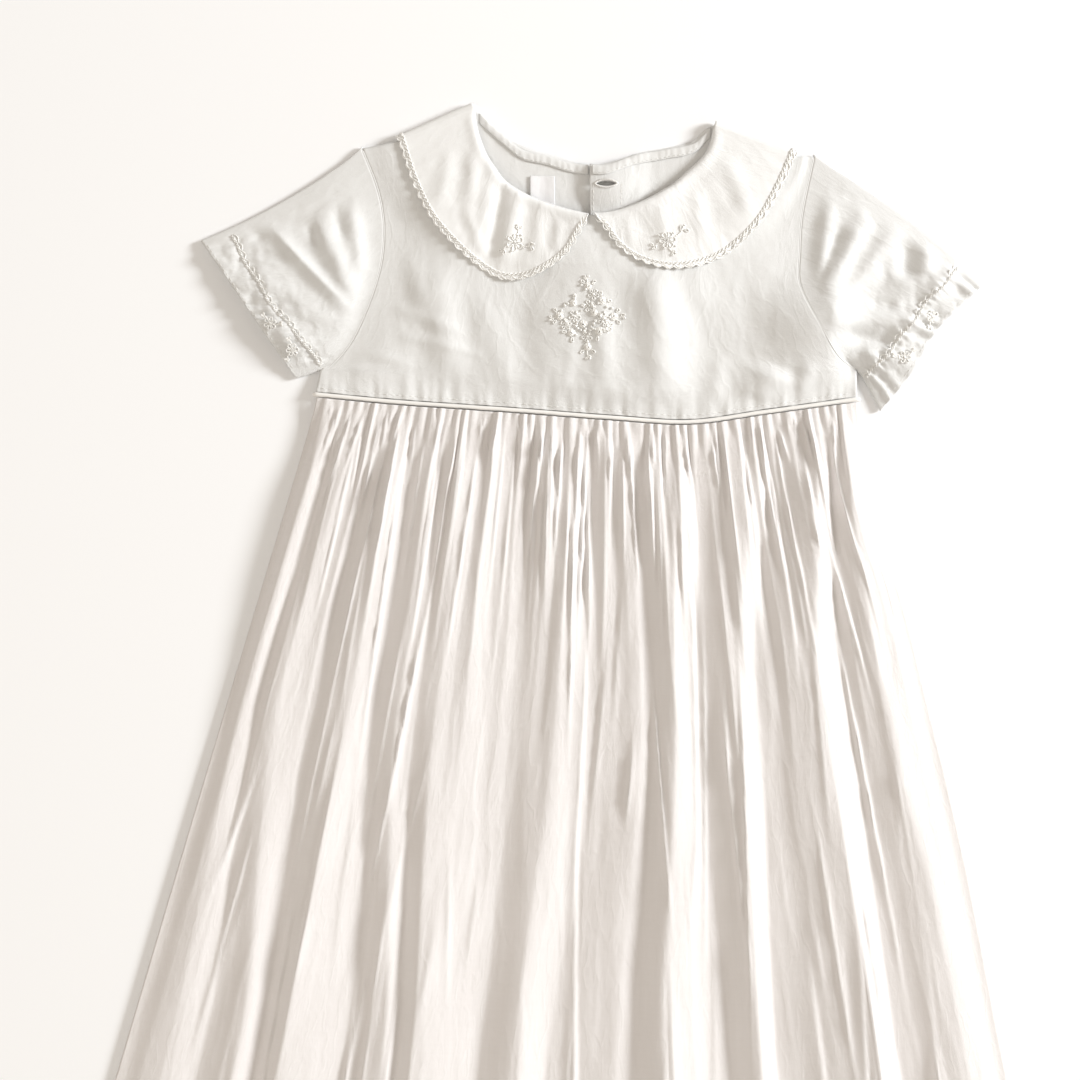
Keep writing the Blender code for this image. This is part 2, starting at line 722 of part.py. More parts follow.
def build_sleeve(name, edge, table, folds, side, colour):
    """Short sleeve as a flattened tube from the armhole to its open hem."""
    plan = smooth_rows(table)
    front_steps, back_steps, rings, fold_reach = 2 * BODICE_ROWS, BODICE_ROWS, 11, WALL + 0.15

    def plan_point(along, across):
        hem_x, hem_y, half_x, half_y = plan(across)
        start_x, start_y = on_rows(edge, across)
        start_x += side * SEAM
        bow_x = half_x - (start_x + hem_x) / 2
        bow_y = half_y - (start_y + hem_y) / 2
        bow = 4 * along * (1 - along)
        return mix(start_x, hem_x, along) + bow * bow_x, mix(start_y, hem_y, along) + bow * bow_y

    def lift(along, across):
        x, y = plan_point(along, across)
        rise = sum(ridge(x, y, *fold) for fold in folds) * ease(along / 0.18)
        fade = ease(across / 0.1) * ease((1 - across) / 0.1)
        dome = 3.0 * math.sin(math.pi * across) ** 0.8 * ease(along / 0.3)
        return dome + (rise + arm_rise(x, y)) * fade

    inner, outer = [], []
    for ring in range(rings + 1):
        along = ring / rings
        inner_row, outer_row = [], []
        ends = plan_point(along, 0.0), plan_point(along, 1.0)
        down = Vector((ends[1][0] - ends[0][0], ends[1][1] - ends[0][1])).normalized()
        tuck = 2 * fold_reach / math.dist(*ends)
        for i in range(front_steps + 1):
            across = i / front_steps
            x, y = plan_point(along, across)
            z = LAYER + lift(along, across)
            pull = tuck * (0.5 - across) * math.dist(*ends) * ease(along / 0.1)
            inner_row.append((x + down.x * pull, y + down.y * pull, z))
            outer_row.append((x + down.x * pull, y + down.y * pull, z + WALL))
        fold_z = (LAYER + WALL) / 2
        fold_out = fold_reach - 0.25
        x, y = plan_point(along, 1.0)
        inner_row.append((x - down.x * 1.05, y - down.y * 1.05, fold_z))
        outer_row.append((x + down.x * fold_out * 0.2, y + down.y * fold_out * 0.2, fold_z))
        for i in range(back_steps, -1, -1):
            across = i / back_steps
            x, y = plan_point(along, across)
            pull = tuck * (0.5 - across) * math.dist(*ends) * ease(along / 0.1)
            inner_row.append((x + down.x * pull, y + down.y * pull, WALL))
            outer_row.append((x + down.x * pull, y + down.y * pull, 0.0))
        x, y = plan_point(along, 0.0)
        inner_row.append((x + down.x * 1.05, y + down.y * 1.05, fold_z))
        outer_row.append((x - down.x * fold_out * 0.2, y - down.y * fold_out * 0.2, fold_z))
        inner.append(inner_row)
        outer.append(outer_row)
    cloth_wall(name, inner, outer, colour, tube=True)


def skirt_point(across, down):
    """Plan point of the skirt: share of its width, share of its length."""
    x0 = mix(skirt_sides(-10)[0], skirt_sides(-10)[1], across)
    top_y = waist_y(min(max(x0, SIDE_LEFT[0]), SIDE_RIGHT[0])) - waist_gap
    edge_share = (2 * across - 1) ** 2
    hem_y = -SKIRT_LENGTH + (HEM_RISE_LEFT if across < 0.5 else HEM_RISE_RIGHT) * edge_share
    y = mix(top_y, hem_y, down)
    left, right = skirt_sides(-y)
    return mix(left, right, across), y


def gather_reach(valley):
    """How far down the valley between two gathers runs; every third or so is long."""
    uneven = (valley * 0.618034 + 0.11) % 1.0
    return mix(GATHER_SHORTEST, GATHER_LONGEST, uneven ** 2.2)


def gathers(across, depth):
    """Height of the gathers, a wave whose valleys fill in one by one."""
    wave = across * GATHERS
    valley = round(wave)
    hollow = 1 - ease(depth / gather_reach(valley))
    high = GATHER_HEIGHT + GATHER_PUFF * ease(depth / 16)
    high *= 1 - ease((depth - 50) / 170)
    return high * (1 - hollow * math.cos(math.pi * (wave - valley)) ** 2)


def main_folds(across, depth):
    """Height of the large folds that the gathers run into."""
    upper, lower = ease(depth / 129), ease((depth - 129) / 191)
    beyond = max(depth - 320, 0) / 320

    def at(row):
        waist, high, low, rise_high, rise_low = row
        place = mix(mix(waist, high, upper), low, lower) + 0.35 * (low - high) * beyond
        return place, mix(rise_high, rise_low, lower)

    rows = [at(row) for row in SKIRT_FOLDS]
    for (start, rise0), (end, rise1) in zip(rows, rows[1:]):
        if across <= end:
            break
    share = min(max((across - start) / (end - start), 0), 1)
    return mix(rise0, rise1, ease(share)) * ease((depth - 2) / 46)


def skirt_low(across, depth):
    """Underside of the skirt front."""
    fade = ease(across / SIDE_FADE) * ease((1 - across) / SIDE_FADE)
    seam = WAIST_LIFT * math.exp(-(depth / 12) ** 2)
    return LAYER + seam + fade * (gathers(across, depth) + main_folds(across, depth))


def build_skirt():
    depths = (0, 6, 16, 34, 62, 105, 160, 230, 320, 430, 540, SKIRT_LENGTH)
    columns = 2 * GATHERS
    low = []
    for depth in depths:
        row = []
        for i in range(columns + 1):
            across = i / columns
            x, y = skirt_point(across, depth / SKIRT_LENGTH)
            row.append((x, y, skirt_low(across, depth)))
        low.append(row)
    cloth_wall("skirt_front", low, upper_side(low), (0.93, 0.91, 0.88))
    back_columns, back_rows = 16, 8
    flat = [[(*skirt_point(i / back_columns, r / back_rows), 0.0) for i in range(back_columns + 1)]
            for r in range(back_rows + 1)]
    cloth_wall("skirt_back", flat, upper_side(flat), (0.92, 0.90, 0.87))


def build_piping():
    """Cord in the waist seam, from the centre back round the front and back again."""
    left_x, right_x = SIDE_LEFT[0] + 0.4, SIDE_RIGHT[0] - 0.4
    middle_z, bend = (CORD_FRONT_Z + CORD_BACK_Z) / 2, (CORD_FRONT_Z - CORD_BACK_Z) / 2
    back_steps, front_steps, bend_steps = 7, 18, 4
    points = []
    for i in range(back_steps):
        x = mix(CENTRE_BACK - 0.6, left_x, i / back_steps)
        points.append((x, waist_y(x), CORD_BACK_Z))
    for i in range(bend_steps + 1):
        turn = math.pi * (i / bend_steps - 0.5)
        points.append((left_x - bend * math.cos(turn), waist_y(left_x), middle_z + bend * math.sin(turn)))
    for i in range(1, front_steps):
        x = mix(left_x, right_x, i / front_steps)
        points.append((x, waist_y(x), CORD_FRONT_Z))
    for i in range(bend_steps + 1):
        turn = math.pi * (0.5 - i / bend_steps)
        points.append((right_x + bend * math.cos(turn), waist_y(right_x), middle_z + bend * math.sin(turn)))
    for i in range(back_steps - 1, -1, -1):
        x = mix(CENTRE_BACK + 0.6, right_x, i / back_steps)
        points.append((x, waist_y(x), CORD_BACK_Z))
    cord = bpy.data.curves.new("waist_piping", "CURVE")
    cord.dimensions = "3D"
    cord.bevel_depth = CORD / 2 * MM
    cord.bevel_resolution = 2
    cord.use_fill_caps = True
    line = cord.splines.new("POLY")
    line.points.add(len(points) - 1)
    for knot, (x, y, z) in zip(line.points, points):
        knot.co = (x * MM, y * MM, z * MM, 1.0)
    add_object("waist_piping", cord, (0.94, 0.92, 0.88))


def build_buttons():
    """Flat two-hole buttons on the outer face of the left back, so under it as the gown lies."""
    for name, row_y, _, _ in BUTTON_ROWS:
        bpy.ops.mesh.primitive_cylinder_add(vertices=20, radius=BUTTON_WIDTH / 2 * MM,
                                            depth=BUTTON_THICK * MM)
        button = bpy.context.object
        button.name = name
        button.data.name = name
        for collection in button.users_collection:
            collection.objects.unlink(button)
        gown_parts.objects.link(button)
        button.location = (CENTRE_BACK * MM, row_y * MM, BUTTON_THICK / 2 * MM)
        button.parent = gown
        button.data.materials.append(new_material(name + "_shell", (0.93, 0.93, 0.91), 0.25))
        for side in (-1, 1):
            bpy.ops.mesh.primitive_cylinder_add(vertices=8, radius=BUTTON_HOLE / 2 * MM,
                                                depth=3 * BUTTON_THICK * MM)
            hole = bpy.context.object
            hole.name = name + ("_hole_a" if side < 0 else "_hole_b")
            hole.location = ((CENTRE_BACK + side * BUTTON_HOLE) * MM, row_y * MM, BUTTON_THICK / 2 * MM)
            hole.parent = gown
            hole.hide_render = True
            hole.display_type = "WIRE"
            for collection in hole.users_collection:
                collection.objects.unlink(hole)
            cutters.objects.link(hole)
            cut = button.modifiers.new(hole.name, "BOOLEAN")
            cut.operation = "DIFFERENCE"
            cut.object = hole


for old in list(bpy.data.objects):
    bpy.data.objects.remove(old, do_unlink=True)

gown_parts = bpy.data.collections.new("christening_gown")
cutters = bpy.data.collections.new("cutters")
bpy.context.scene.collection.children.link(gown_parts)
bpy.context.scene.collection.children.link(cutters)

# The empty moves the working origin so that the gown's own middle lies over the world origin
hem_left, hem_right = skirt_point(0, 1)[0], skirt_point(1, 1)[0]
gown = bpy.data.objects.new("gown", None)
gown.location = (-(hem_left + hem_right) / 2 * MM, (SKIRT_LENGTH - COLLAR_LEFT_FRONT[-1][1]) / 2 * MM, 0)
gown_parts.objects.link(gown)

white = (0.94, 0.93, 0.90)
build_bodice_front()
build_backs()
build_binding("neck_binding_left", BINDING_LEFT, back_low, white)
build_binding("neck_binding_right", BINDING_RIGHT, back_right_low, white)
build_label()
build_collar("collar_left", COLLAR_LEFT_FRONT, COLLAR_LEFT_BACK, white)
build_collar("collar_right", COLLAR_RIGHT_FRONT, COLLAR_RIGHT_BACK, white)
build_sleeve("sleeve_left", edge_left, SLEEVE_LEFT, SLEEVE_LEFT_FOLDS, -1, (0.92, 0.90, 0.86))
build_sleeve("sleeve_right", edge_right, SLEEVE_RIGHT, SLEEVE_RIGHT_FOLDS, 1, (0.92, 0.90, 0.86))
build_skirt()
build_piping()
build_buttons()
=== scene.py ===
"""The christening gown as it looks: fine cotton lawn, gathers, embroidery and sewing."""
import math

import bmesh
import bpy
import numpy as np
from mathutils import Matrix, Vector


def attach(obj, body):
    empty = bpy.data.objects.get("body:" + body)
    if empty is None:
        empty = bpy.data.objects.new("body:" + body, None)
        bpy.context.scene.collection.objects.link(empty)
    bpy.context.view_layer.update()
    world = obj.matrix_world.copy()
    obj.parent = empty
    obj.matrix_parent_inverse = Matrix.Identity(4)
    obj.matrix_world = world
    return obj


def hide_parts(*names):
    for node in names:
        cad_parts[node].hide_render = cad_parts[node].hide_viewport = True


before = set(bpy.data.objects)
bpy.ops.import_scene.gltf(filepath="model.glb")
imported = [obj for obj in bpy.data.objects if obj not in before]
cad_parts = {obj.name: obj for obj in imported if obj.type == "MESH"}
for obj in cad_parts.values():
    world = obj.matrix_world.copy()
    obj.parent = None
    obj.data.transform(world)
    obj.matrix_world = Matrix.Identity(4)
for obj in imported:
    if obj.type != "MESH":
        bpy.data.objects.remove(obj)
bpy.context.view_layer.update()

MM = 0.001
WALL = 1.0
SEAM = 0.3
LAYER = WALL + SEAM
SHELL = 0.6

SKIRT_LENGTH = 640.0
HEM_RISE_LEFT = 30.0
HEM_RISE_RIGHT = 19.0
HEM_TURNING = 32.0
# Width of skirt over which its finest crumpling is laid
SKIRT_SPREAD = 460.0
GATHERS = 58
GATHER_HEIGHT = 2.2
GATHER_PUFF = 1.6
GATHER_HOLLOW = 0.55
GATHER_SHORTEST = 9.0
GATHER_LONGEST = 120.0
SIDE_FADE = 0.03

CORD = 2.2
CORD_BACK_Z = CORD / 2 + 0.05
CORD_FRONT_Z = CORD_BACK_Z + CORD + SEAM
WAIST_LIFT = CORD_FRONT_Z - WALL / 2 - LAYER

LAP_EDGE = 0.0
LAP_UNDER_EDGE = 20.0
CENTRE_BACK = 7.7
# y of each button, y of its buttonhole and how far the hole gapes
BUTTON_ROWS = ((113.0, 109.4, 2.4), (64.3, 64.3, 0.9), (27.9, 27.9, 0.9))
BUTTON_THICK = 1.6
BUTTON_FLAT = 10.2
BUTTON_REACH = 22.0
BUTTONHOLE_LENGTH = 9.6
# Rise round the top buttonhole: x, y, half width, half length, height
PLACKET_RISE = (9.0, 109.0, 13.0, 10.0, 2.9)

DOME_HEIGHT = 3.3
DOME_MIDDLE = 9.0
DOME_HALF = 60.0
PUFF = 1.8
NECK_INSET = 0.8
NECK_MIDDLE = (2.0, 125.0)
UNDERARM_SHARE = 0.09

FOLD_OUTER = (2 * LAYER + LAYER + WALL) / 2
FOLD_INNER = FOLD_OUTER - WALL
COLLAR_REST = SEAM + 0.15
BACK_LIFT = 0.25
# How far the seams' stillness reaches into the bodice, and where its folds run out below the collar
SEAM_CLEAR = 30.0
FOLDS_TOP = 72.0
FOLDS_FADE = 14.0
# Deepest dip of a sleeve's upper side under its rest
SLEEVE_DIP = -0.6

# Waist seam: x, y
WAIST = ((-133.0, 8.6), (-93.0, 4.8), (-38.0, 1.0), (13.0, -2.9), (48.0, -4.8), (84.0, 0.0), (129.0, 6.2))
# x of its two ends
WAIST_LEFT, WAIST_RIGHT = -131.5, 128.2

# Side edges of the skirt: depth below the waist, left x, right x
SKIRT_SIDES = (
    (-10, -130.5, 128),
    (0, -132.8, 128.4),
    (45, -146, 133),
    (85, -158, 148),
    (135, -173, 161),
    (215, -197, 180),
    (320, -228, 200.5),
    (640, -321, 270),
)

# Main folds of the skirt front, crests and valleys by turns, left to right: share of the width at the
# waist, at the first depth and at the second; height at the first depth and at the second
FIRST_DEPTH, SECOND_DEPTH = 129.0, 320.0
SKIRT_FOLDS = (
    (0.000, 0.000, 0.000, 0, 0),
    (0.030, 0.021, 0.051, 3, 5),
    (0.060, 0.045, 0.090, 1, 1),
    (0.085, 0.072, 0.131, 4, 7),
    (0.130, 0.120, 0.155, 1.5, 1.5),
    (0.173, 0.175, 0.180, 6, 9),
    (0.200, 0.212, 0.262, 1, 0.5),
    (0.230, 0.245, 0.297, 5, 6.5),
    (0.255, 0.272, 0.312, 3, 3),
    (0.285, 0.300, 0.330, 6.5, 9.5),
    (0.400, 0.408, 0.409, 1, 0.5),
    (0.450, 0.470, 0.443, 5, 7.5),
    (0.510, 0.531, 0.485, 0.5, 0.5),
    (0.570, 0.590, 0.560, 4, 4),
    (0.590, 0.608, 0.578, 2.5, 2.5),
    (0.655, 0.638, 0.612, 8, 10),
    (0.700, 0.673, 0.690, 1, 0.5),
    (0.790, 0.731, 0.723, 6, 8),
    (0.830, 0.758, 0.742, 2, 2),
    (0.915, 0.846, 0.857, 8.5, 10.5),
    (0.945, 0.884, 0.880, 1, 1),
    (0.975, 0.936, 0.955, 6, 7),
    (1.000, 1.000, 1.000, 0, 0),
)

ARMHOLE_LEFT = ((-129.8, 20.2), (-123.5, 23.0), (-112.8, 37.0), (-101.3, 66.7), (-98.9, 87.4),
                (-101.5, 106), (-109.4, 126.7))
ARMHOLE_RIGHT = ((128.2, 20.0), (119.0, 26.5), (111.8, 37.0), (100.6, 60.5), (100.6, 78.0),
                 (101.8, 95), (107.5, 122.9))

# Sleeves: share of the way from shoulder to underarm; x, y at the hem and halfway along
SLEEVE_LEFT = (
    (0.00, -187.2, 82.6, -147, 102),
    (0.25, -176, 66.5, -138, 76.5),
    (0.50, -164.5, 49.8, -133.5, 54),
    (0.75, -153, 33, -131.5, 36.5),
    (1.00, -141.1, 16.3, -135.5, 18),
)
SLEEVE_RIGHT = (
    (0.00, 189.6, 61.9, 150.5, 94.8),
    (0.25, 178.5, 51.5, 141.5, 74),
    (0.50, 165.5, 38, 136, 52),
    (0.75, 153, 17, 133, 33),
    (1.00, 139.5, 0.5, 134, 11.5),
)

# Folds of the sleeves, fanned out from the underarm: start x, y; end x, y; half width; height
SLEEVE_LEFT_FOLDS = (
    (-109.5, 64, -114.5, 103, 4.2, 1.9),
    (-112.5, 53, -131.5, 95, 5.5, 3.2),
    (-114, 46, -155, 91, 3.8, 2.4),
    (-121, 40, -166, 70, 7, 1.8),
    (-126, 29, -158, 45, 6, 2.2),
)
SLEEVE_RIGHT_FOLDS = (
    (108.5, 62, 115, 106, 4.5, 2.6),
    (112, 56, 133, 95, 5, 3.2),
    (117, 48, 150, 92, 5.5, 2.2),
    (140, 62, 174, 65, 5.5, 2.4),
    (116, 42, 160, 45, 5.5, 3.4),
    (126, 27, 158, 25, 5.5, 3),
)
# Finer creases and dimples between them, in the same columns
SLEEVE_LEFT_CREASES = (
    (-116, 50, -154, 90, 1.3, 0.8),
    (-134.5, 92, -131, 79, 2.8, -1.2),
    (-123, 101, -118, 80, 2.4, -0.9),
    (-164, 92, -158, 82, 3.2, -1),
    (-172, 76, -160, 66, 4, -0.9),
    (-160, 58, -150, 50, 3.2, 0.7),
    (-146, 62, -136, 44, 2.4, 0.5),
    (-150, 40, -138, 24, 2.6, 0.8),
)
SLEEVE_RIGHT_CREASES = (
    (110, 62, 121, 92, 2.2, -1),
    (152, 84, 152, 62, 4.5, -2.2),
    (163, 82, 161, 64, 4.5, 2),
    (177, 73, 160, 51, 4.5, 2.6),
    (162, 54, 141, 26, 4, 2),
    (140, 74, 143, 60, 3, -0.8),
    (133, 53, 147, 51, 3, -1.4),
    (118, 37, 152, 32, 3.6, -1.9),
    (133, 30, 139, 16, 2.6, 0.9),
    (128, 98, 136, 88, 3, 0.7),
)
# Height of the ripples along each sleeve's hem
HEM_RIPPLES = {"sleeve_left": 0.6, "sleeve_right": 0.9}

# Collar halves, front then back: x, y on the neck edge and on the outer edge
COLLAR_LEFT_FRONT = (
    (-1, 95, -1.4, 92.8),
    (-5.8, 96, -5.8, 85.4),
    (-11.5, 97.4, -11.5, 75.8),
    (-17.8, 99.4, -20.6, 68.6),
    (-25.4, 102.2, -31.7, 63.8),
    (-34.1, 106.6, -43.2, 63.8),
    (-40.8, 111.4, -54.2, 70.1),
    (-45.1, 117.1, -66.2, 80.6),
    (-49.4, 123.8, -76.8, 93.1),
    (-53.3, 134.4, -85.4, 110.4),
    (-56.6, 148.8, -93.1, 132.5),
)
COLLAR_LEFT_BACK = (
    (-56.6, 148.8, -93.1, 132.5),
    (-49, 140.8, -88.5, 114),
    (-40.8, 133.9, -74, 100.2),
    (-32.2, 127.2, -55, 92),
    (-24, 125, -37, 87),
    (-16, 123, -21, 86.5),
    (-10.5, 121.3, -10, 94),
    (-7.5, 120.5, -7, 116),
)
COLLAR_RIGHT_FRONT = (
    (1.9, 95.3, 3, 93.2),
    (6.2, 95.5, 8.2, 87.4),
    (12.5, 96.7, 14.9, 78.2),
    (19.2, 98.9, 24, 72),
    (26.4, 101.8, 35.5, 68.6),
    (33.6, 105.6, 49, 69.1),
    (40.3, 109.9, 61.9, 73.4),
    (46.6, 115.7, 73.4, 81.6),
    (51.8, 120.5, 83.5, 92.6),
    (56.6, 127.2, 92.2, 108),
    (60.5, 140.2, 99.8, 125.3),
)
COLLAR_RIGHT_BACK = (
    (60.5, 140.2, 99.8, 125.3),
    (55.2, 135.8, 93.5, 110),
    (49.9, 130.6, 80, 98),
    (43, 128.5, 62, 90),
    (36.5, 127.2, 45, 86.5),
    (30, 126, 32, 87),
    (25, 125.1, 24, 96),
    (22.5, 124.6, 22, 120),
)
BACK_NECK = ((-55.2, 146.2), (-48.5, 139.6), (-40.8, 132.9), (-32.2, 126.4), (-21.1, 123.8), (-10.0, 120.4),
             (0.5, 118.9), (8.2, 118.9), (21.1, 123.5), (36.5, 126.6), (49.9, 129.6), (58.4, 137.6))
COLLAR_UNDER = (3.4, 127.0, 98.5, 54.0)
COLLAR_CLEAR = (-0.5, 127.0, 106.5, 76.0)
BINDING_LEFT = (-44.0, -0.8)
BINDING_RIGHT = (1.0, 53.5)
# How far each binding runs on under its collar
BINDING_ON_LEFT, BINDING_ON_RIGHT = 9.0, 4.6
BINDING_DEPTH = 5.0
BINDING_EDGE = 0.4
BINDING_REST = SEAM + 0.1
LABEL = (-28.8, -16.8, 113.4, 99.0)

# Folds and creases of the bodice front, the main ones first: start x, y; end x, y; half width; height
BODICE_CREASES = (
    (29, 74, 37, 2, 11.5, 5.6),
    (89, 22, 82, 2, 10, 3.8),
    (50, 74, 54, 48, 6, 1),
    (62, 28, 60, 2, 4.5, 1),
    (4, 66, 8, 8, 5, 1.5),
    (-10, 64, -14, 6, 6, 0.9),
    (-24, 62, -20, 8, 8, 1.5),
    (-50, 58, -40, 8, 8, 1.6),
    (-76, 74, -66, 12, 8, 2.2),
    (-99, 52, -60, 38, 3, 0.8),
    (-96, 38, -50, 27, 2.4, 0.6),
    (-112, 30, -84, 22, 2.6, 0.6),
    (-90, 90, -80, 44, 5, 1.5),
    (95, 92, 84, 62, 5, 1),
    (106, 24, 100, 6, 4, 1.4),
    (-8, 34, -12, 8, 3, 0.5),
)

# The bodice and sleeve rise together by the right armhole: x, y, half width inward and outward, half
# length, height
ARM_RISE = (113.0, 42.0, 28.0, 11.0, 21.0, 11.2)

# Creases of the collar's front lobes, in the same columns
COLLAR_CREASES = (
    (-41, 114, -49, 68, 2.6, -1.1),
    (-34, 107, -42, 69, 4.2, 1.7),
    (-55, 132, -58, 92, 4, 1.2),
    (-66, 132, -72, 98, 4.2, 1.1),
    (-46, 118, -54, 84, 3.4, 0.9),
    (-24, 100, -26, 74, 3.4, 0.9),
    (-60, 98, -52, 76, 3, 0.8),
    (-14, 93, -17, 77, 2.6, 0.6),
    (18, 95, 21, 78, 3, 0.5),
    (33, 103, 37, 74, 4, 0.7),
    (50, 110, 55, 80, 4, 0.8),
    (66, 124, 76, 94, 4.4, 0.9),
    (80, 130, 92, 112, 3.4, 0.7),
)


def ease(share):
    """Runs smoothly from 0 to 1 as the share does."""
    share = np.clip(share, 0.0, 1.0)
    return share * share * (3.0 - 2.0 * share)


def mix(a, b, share):
    return a + (b - a) * share


def smooth_rows(rows):
    """Smooth curve through a table's rows, read by the value in its first column."""
    table = np.array(rows, float)
    keys, values = table[:, 0], table[:, 1:]
    places = np.arange(len(keys))
    before, after = np.maximum(places - 1, 0), np.minimum(places + 1, len(keys) - 1)
    slopes = (values[after] - values[before]) / (keys[after] - keys[before])[:, None]

    def read(key):
        key = np.clip(np.asarray(key, float), keys[0], keys[-1])
        i = np.clip(np.searchsorted(keys, key) - 1, 0, len(keys) - 2)
        step = (keys[i + 1] - keys[i])[..., None]
        t = (key - keys[i])[..., None] / step
        return ((1 - ease(t)) * values[i] + ease(t) * values[i + 1]
                + t * (1 - t) ** 2 * step * slopes[i] - t * t * (1 - t) * step * slopes[i + 1])

    return read


def run_along(line):
    """Length of a line up to each of its points."""
    return np.concatenate([[0], np.cumsum(np.linalg.norm(np.diff(line, axis=0), axis=1))])


def read_line(places, run, line):
    """Points of a line at places along it."""
    return np.column_stack([np.interp(places, run, line[:, axis]) for axis in range(3)])


def course(points):
    """Smooth line through points, read by the share of its length."""
    points = np.array(points, float)
    lengths = run_along(points)
    return smooth_rows(np.column_stack([lengths / lengths[-1], points]))


waist_curve = smooth_rows(WAIST)
skirt_sides = smooth_rows(SKIRT_SIDES)
skirt_guide = smooth_rows([SKIRT_SIDES[i] for i in (0, 1, 4, 6, 7)])
back_neck_dense = course(BACK_NECK)(np.linspace(0, 1, 600))


def waist_y(x):
    return waist_curve(x)[..., 0]


def back_neck_y(x):
    return np.interp(x, back_neck_dense[:, 0], back_neck_dense[:, 1])


def inside_ellipse(x, y, ellipse):
    middle_x, middle_y, half_width, half_depth = ellipse
    return np.hypot((x - middle_x) / half_width, (y - middle_y) / half_depth)


def over_back_collar(x, y):
    near = inside_ellipse(x, y, COLLAR_UNDER) - 1
    far = 1 - inside_ellipse(x, y, COLLAR_CLEAR)
    share = np.where(near <= 0, 1.0, far / np.maximum(far + near, 1e-6))
    return np.where((near > 0) & (far <= 0), 0.0, ease(share))


def over_buttons(x, y):
    slope = BUTTON_REACH - BUTTON_FLAT
    lifts = [(BUTTON_THICK + SEAM) * ease((BUTTON_REACH - np.hypot(x - CENTRE_BACK, y - row_y)) / slope)
             for row_y, _, _ in BUTTON_ROWS]
    return np.max(lifts, axis=0)


def back_low(x, y):
    return np.maximum(LAYER * over_back_collar(x, y), over_buttons(x, y))


def back_right_low(x, y):
    """Underside of the right back, over the left one and a little raised round its top buttonhole."""
    middle_x, middle_y, half_width, half_length, high = PLACKET_RISE
    rise = high * np.exp(-((x - middle_x) / half_width) ** 2 - ((y - middle_y) / half_length) ** 2)
    return back_low(x, y) + LAYER * ease((LAP_UNDER_EDGE + 11 - x) / 9) + rise


def armhole_x(y, side):
    edge = np.array(ARMHOLE_LEFT if side < 0 else ARMHOLE_RIGHT)
    return np.interp(y, edge[:, 1], edge[:, 0])


def side_clear(x, y):
    """0 at the bodice's seams, easing to 1 inside them."""
    shoulder = 126.0 + 0.37 * (109.0 - np.abs(x))
    return (ease((x - armhole_x(y, -1)) / SEAM_CLEAR) * ease((armhole_x(y, 1) - x) / SEAM_CLEAR)
            * ease((shoulder - 5 - y) / 26) * ease((y - waist_y(x)) / 16))


def ridge(x, y, x0, y0, x1, y1, half_width, high):
    """Soft ridge between two points, fading at both ends."""
    length = math.hypot(x1 - x0, y1 - y0)
    along = ((x - x0) * (x1 - x0) + (y - y0) * (y1 - y0)) / length ** 2
    beside = ((x - x0) * (y1 - y0) - (y - y0) * (x1 - x0)) / length
    ends = ease(along * 2.5 + 0.2) * ease((1 - along) * 2.5 + 0.2)
    return high * np.exp(-(beside / half_width) ** 2) * ends


def crumple(x, y, seed, shortest, longest, stretch=1.0):
    """Uneven soft crumpling with a few sharper creases, about 1 high."""
    draw = np.random.default_rng(seed)
    total = 0.0
    for _ in range(18):
        wave, lean, start = draw.uniform(shortest, longest), draw.uniform(0, 2 * np.pi), draw.uniform(0, 6)
        line = (x * math.cos(lean) + y * math.sin(lean) * stretch) * 2 * np.pi / wave
        total = total + np.sin(line + start + 0.9 * np.sin(line * 0.37 + start))
    total = total / 3.0
    return 0.6 * total + 0.7 * (1 - np.minimum(np.abs(total) * 1.8, 1.0))


def front_base(x, y):
    """Underside of the bodice front without its creases."""
    across = np.minimum(np.abs(x - DOME_MIDDLE) / DOME_HALF, 1.0)
    dome = DOME_HEIGHT * (1 + np.cos(np.pi * across)) / 2 * ease((y - waist_y(x)) / 14)
    collar = LAYER * over_back_collar(x, y)
    seam = WAIST_LIFT * np.exp(-((y - waist_y(x)) / 9) ** 2)
    ripple = 0.45 * np.sin(0.11 * x + 0.035 * y) + 0.35 * np.sin(0.063 * y - 0.05 * x)
    return LAYER + np.hypot(dome, collar) + seam + (PUFF + ripple) * side_clear(x, y)


def arm_rise(x, y):
    """Soft rise shared by the bodice and the sleeve where they meet."""
    middle_x, middle_y, inward, outward, length, high = ARM_RISE
    beside = (x - middle_x) / np.where(x < middle_x, inward, outward)
    return high * np.exp(-beside ** 2 - ((y - middle_y) / length) ** 2)


def front_creases(x, y):
    """The folds and creases of the bodice front, running out under the collar and at the seams."""
    fade = ease((FOLDS_TOP - y) / FOLDS_FADE + 0.5)
    return sum(ridge(x, y, *row) for row in BODICE_CREASES) * fade * side_clear(x, y)


def front_low(x, y):
    """Underside of the bodice front with its creases and the puckers above the waist cord."""
    above = y - waist_y(x) - CORD / 2
    uneven = 0.5 + 0.5 * np.sin(0.37 * x + 1.3) * np.sin(0.11 * x)
    pucker = 0.42 * np.cos(1.42 * x + 0.8 * np.sin(0.21 * x)) * uneven * np.exp(-above / (2.5 + 3.5 * uneven))
    long_pucker = (0.5 * np.sin(0.61 * x + 1.7 * np.sin(0.083 * x))
                   * (0.4 + 0.6 * np.sin(0.19 * x + 2.0) ** 2)
                   * np.exp(-(above / (9.0 + 5.0 * np.sin(0.27 * x))) ** 2) * ease(above / 1.5))
    fine = 0.2 * crumple(x, y, 21, 10.0, 34.0, 0.6)
    side_end = ease((SIDE_RIGHT[0] - x) / 6) * ease((y - waist_y(x)) / 12)
    return (front_base(x, y) + front_creases(x, y) + fine * side_clear(x, y) + pucker + long_pucker
            + arm_rise(x, y) * side_end)


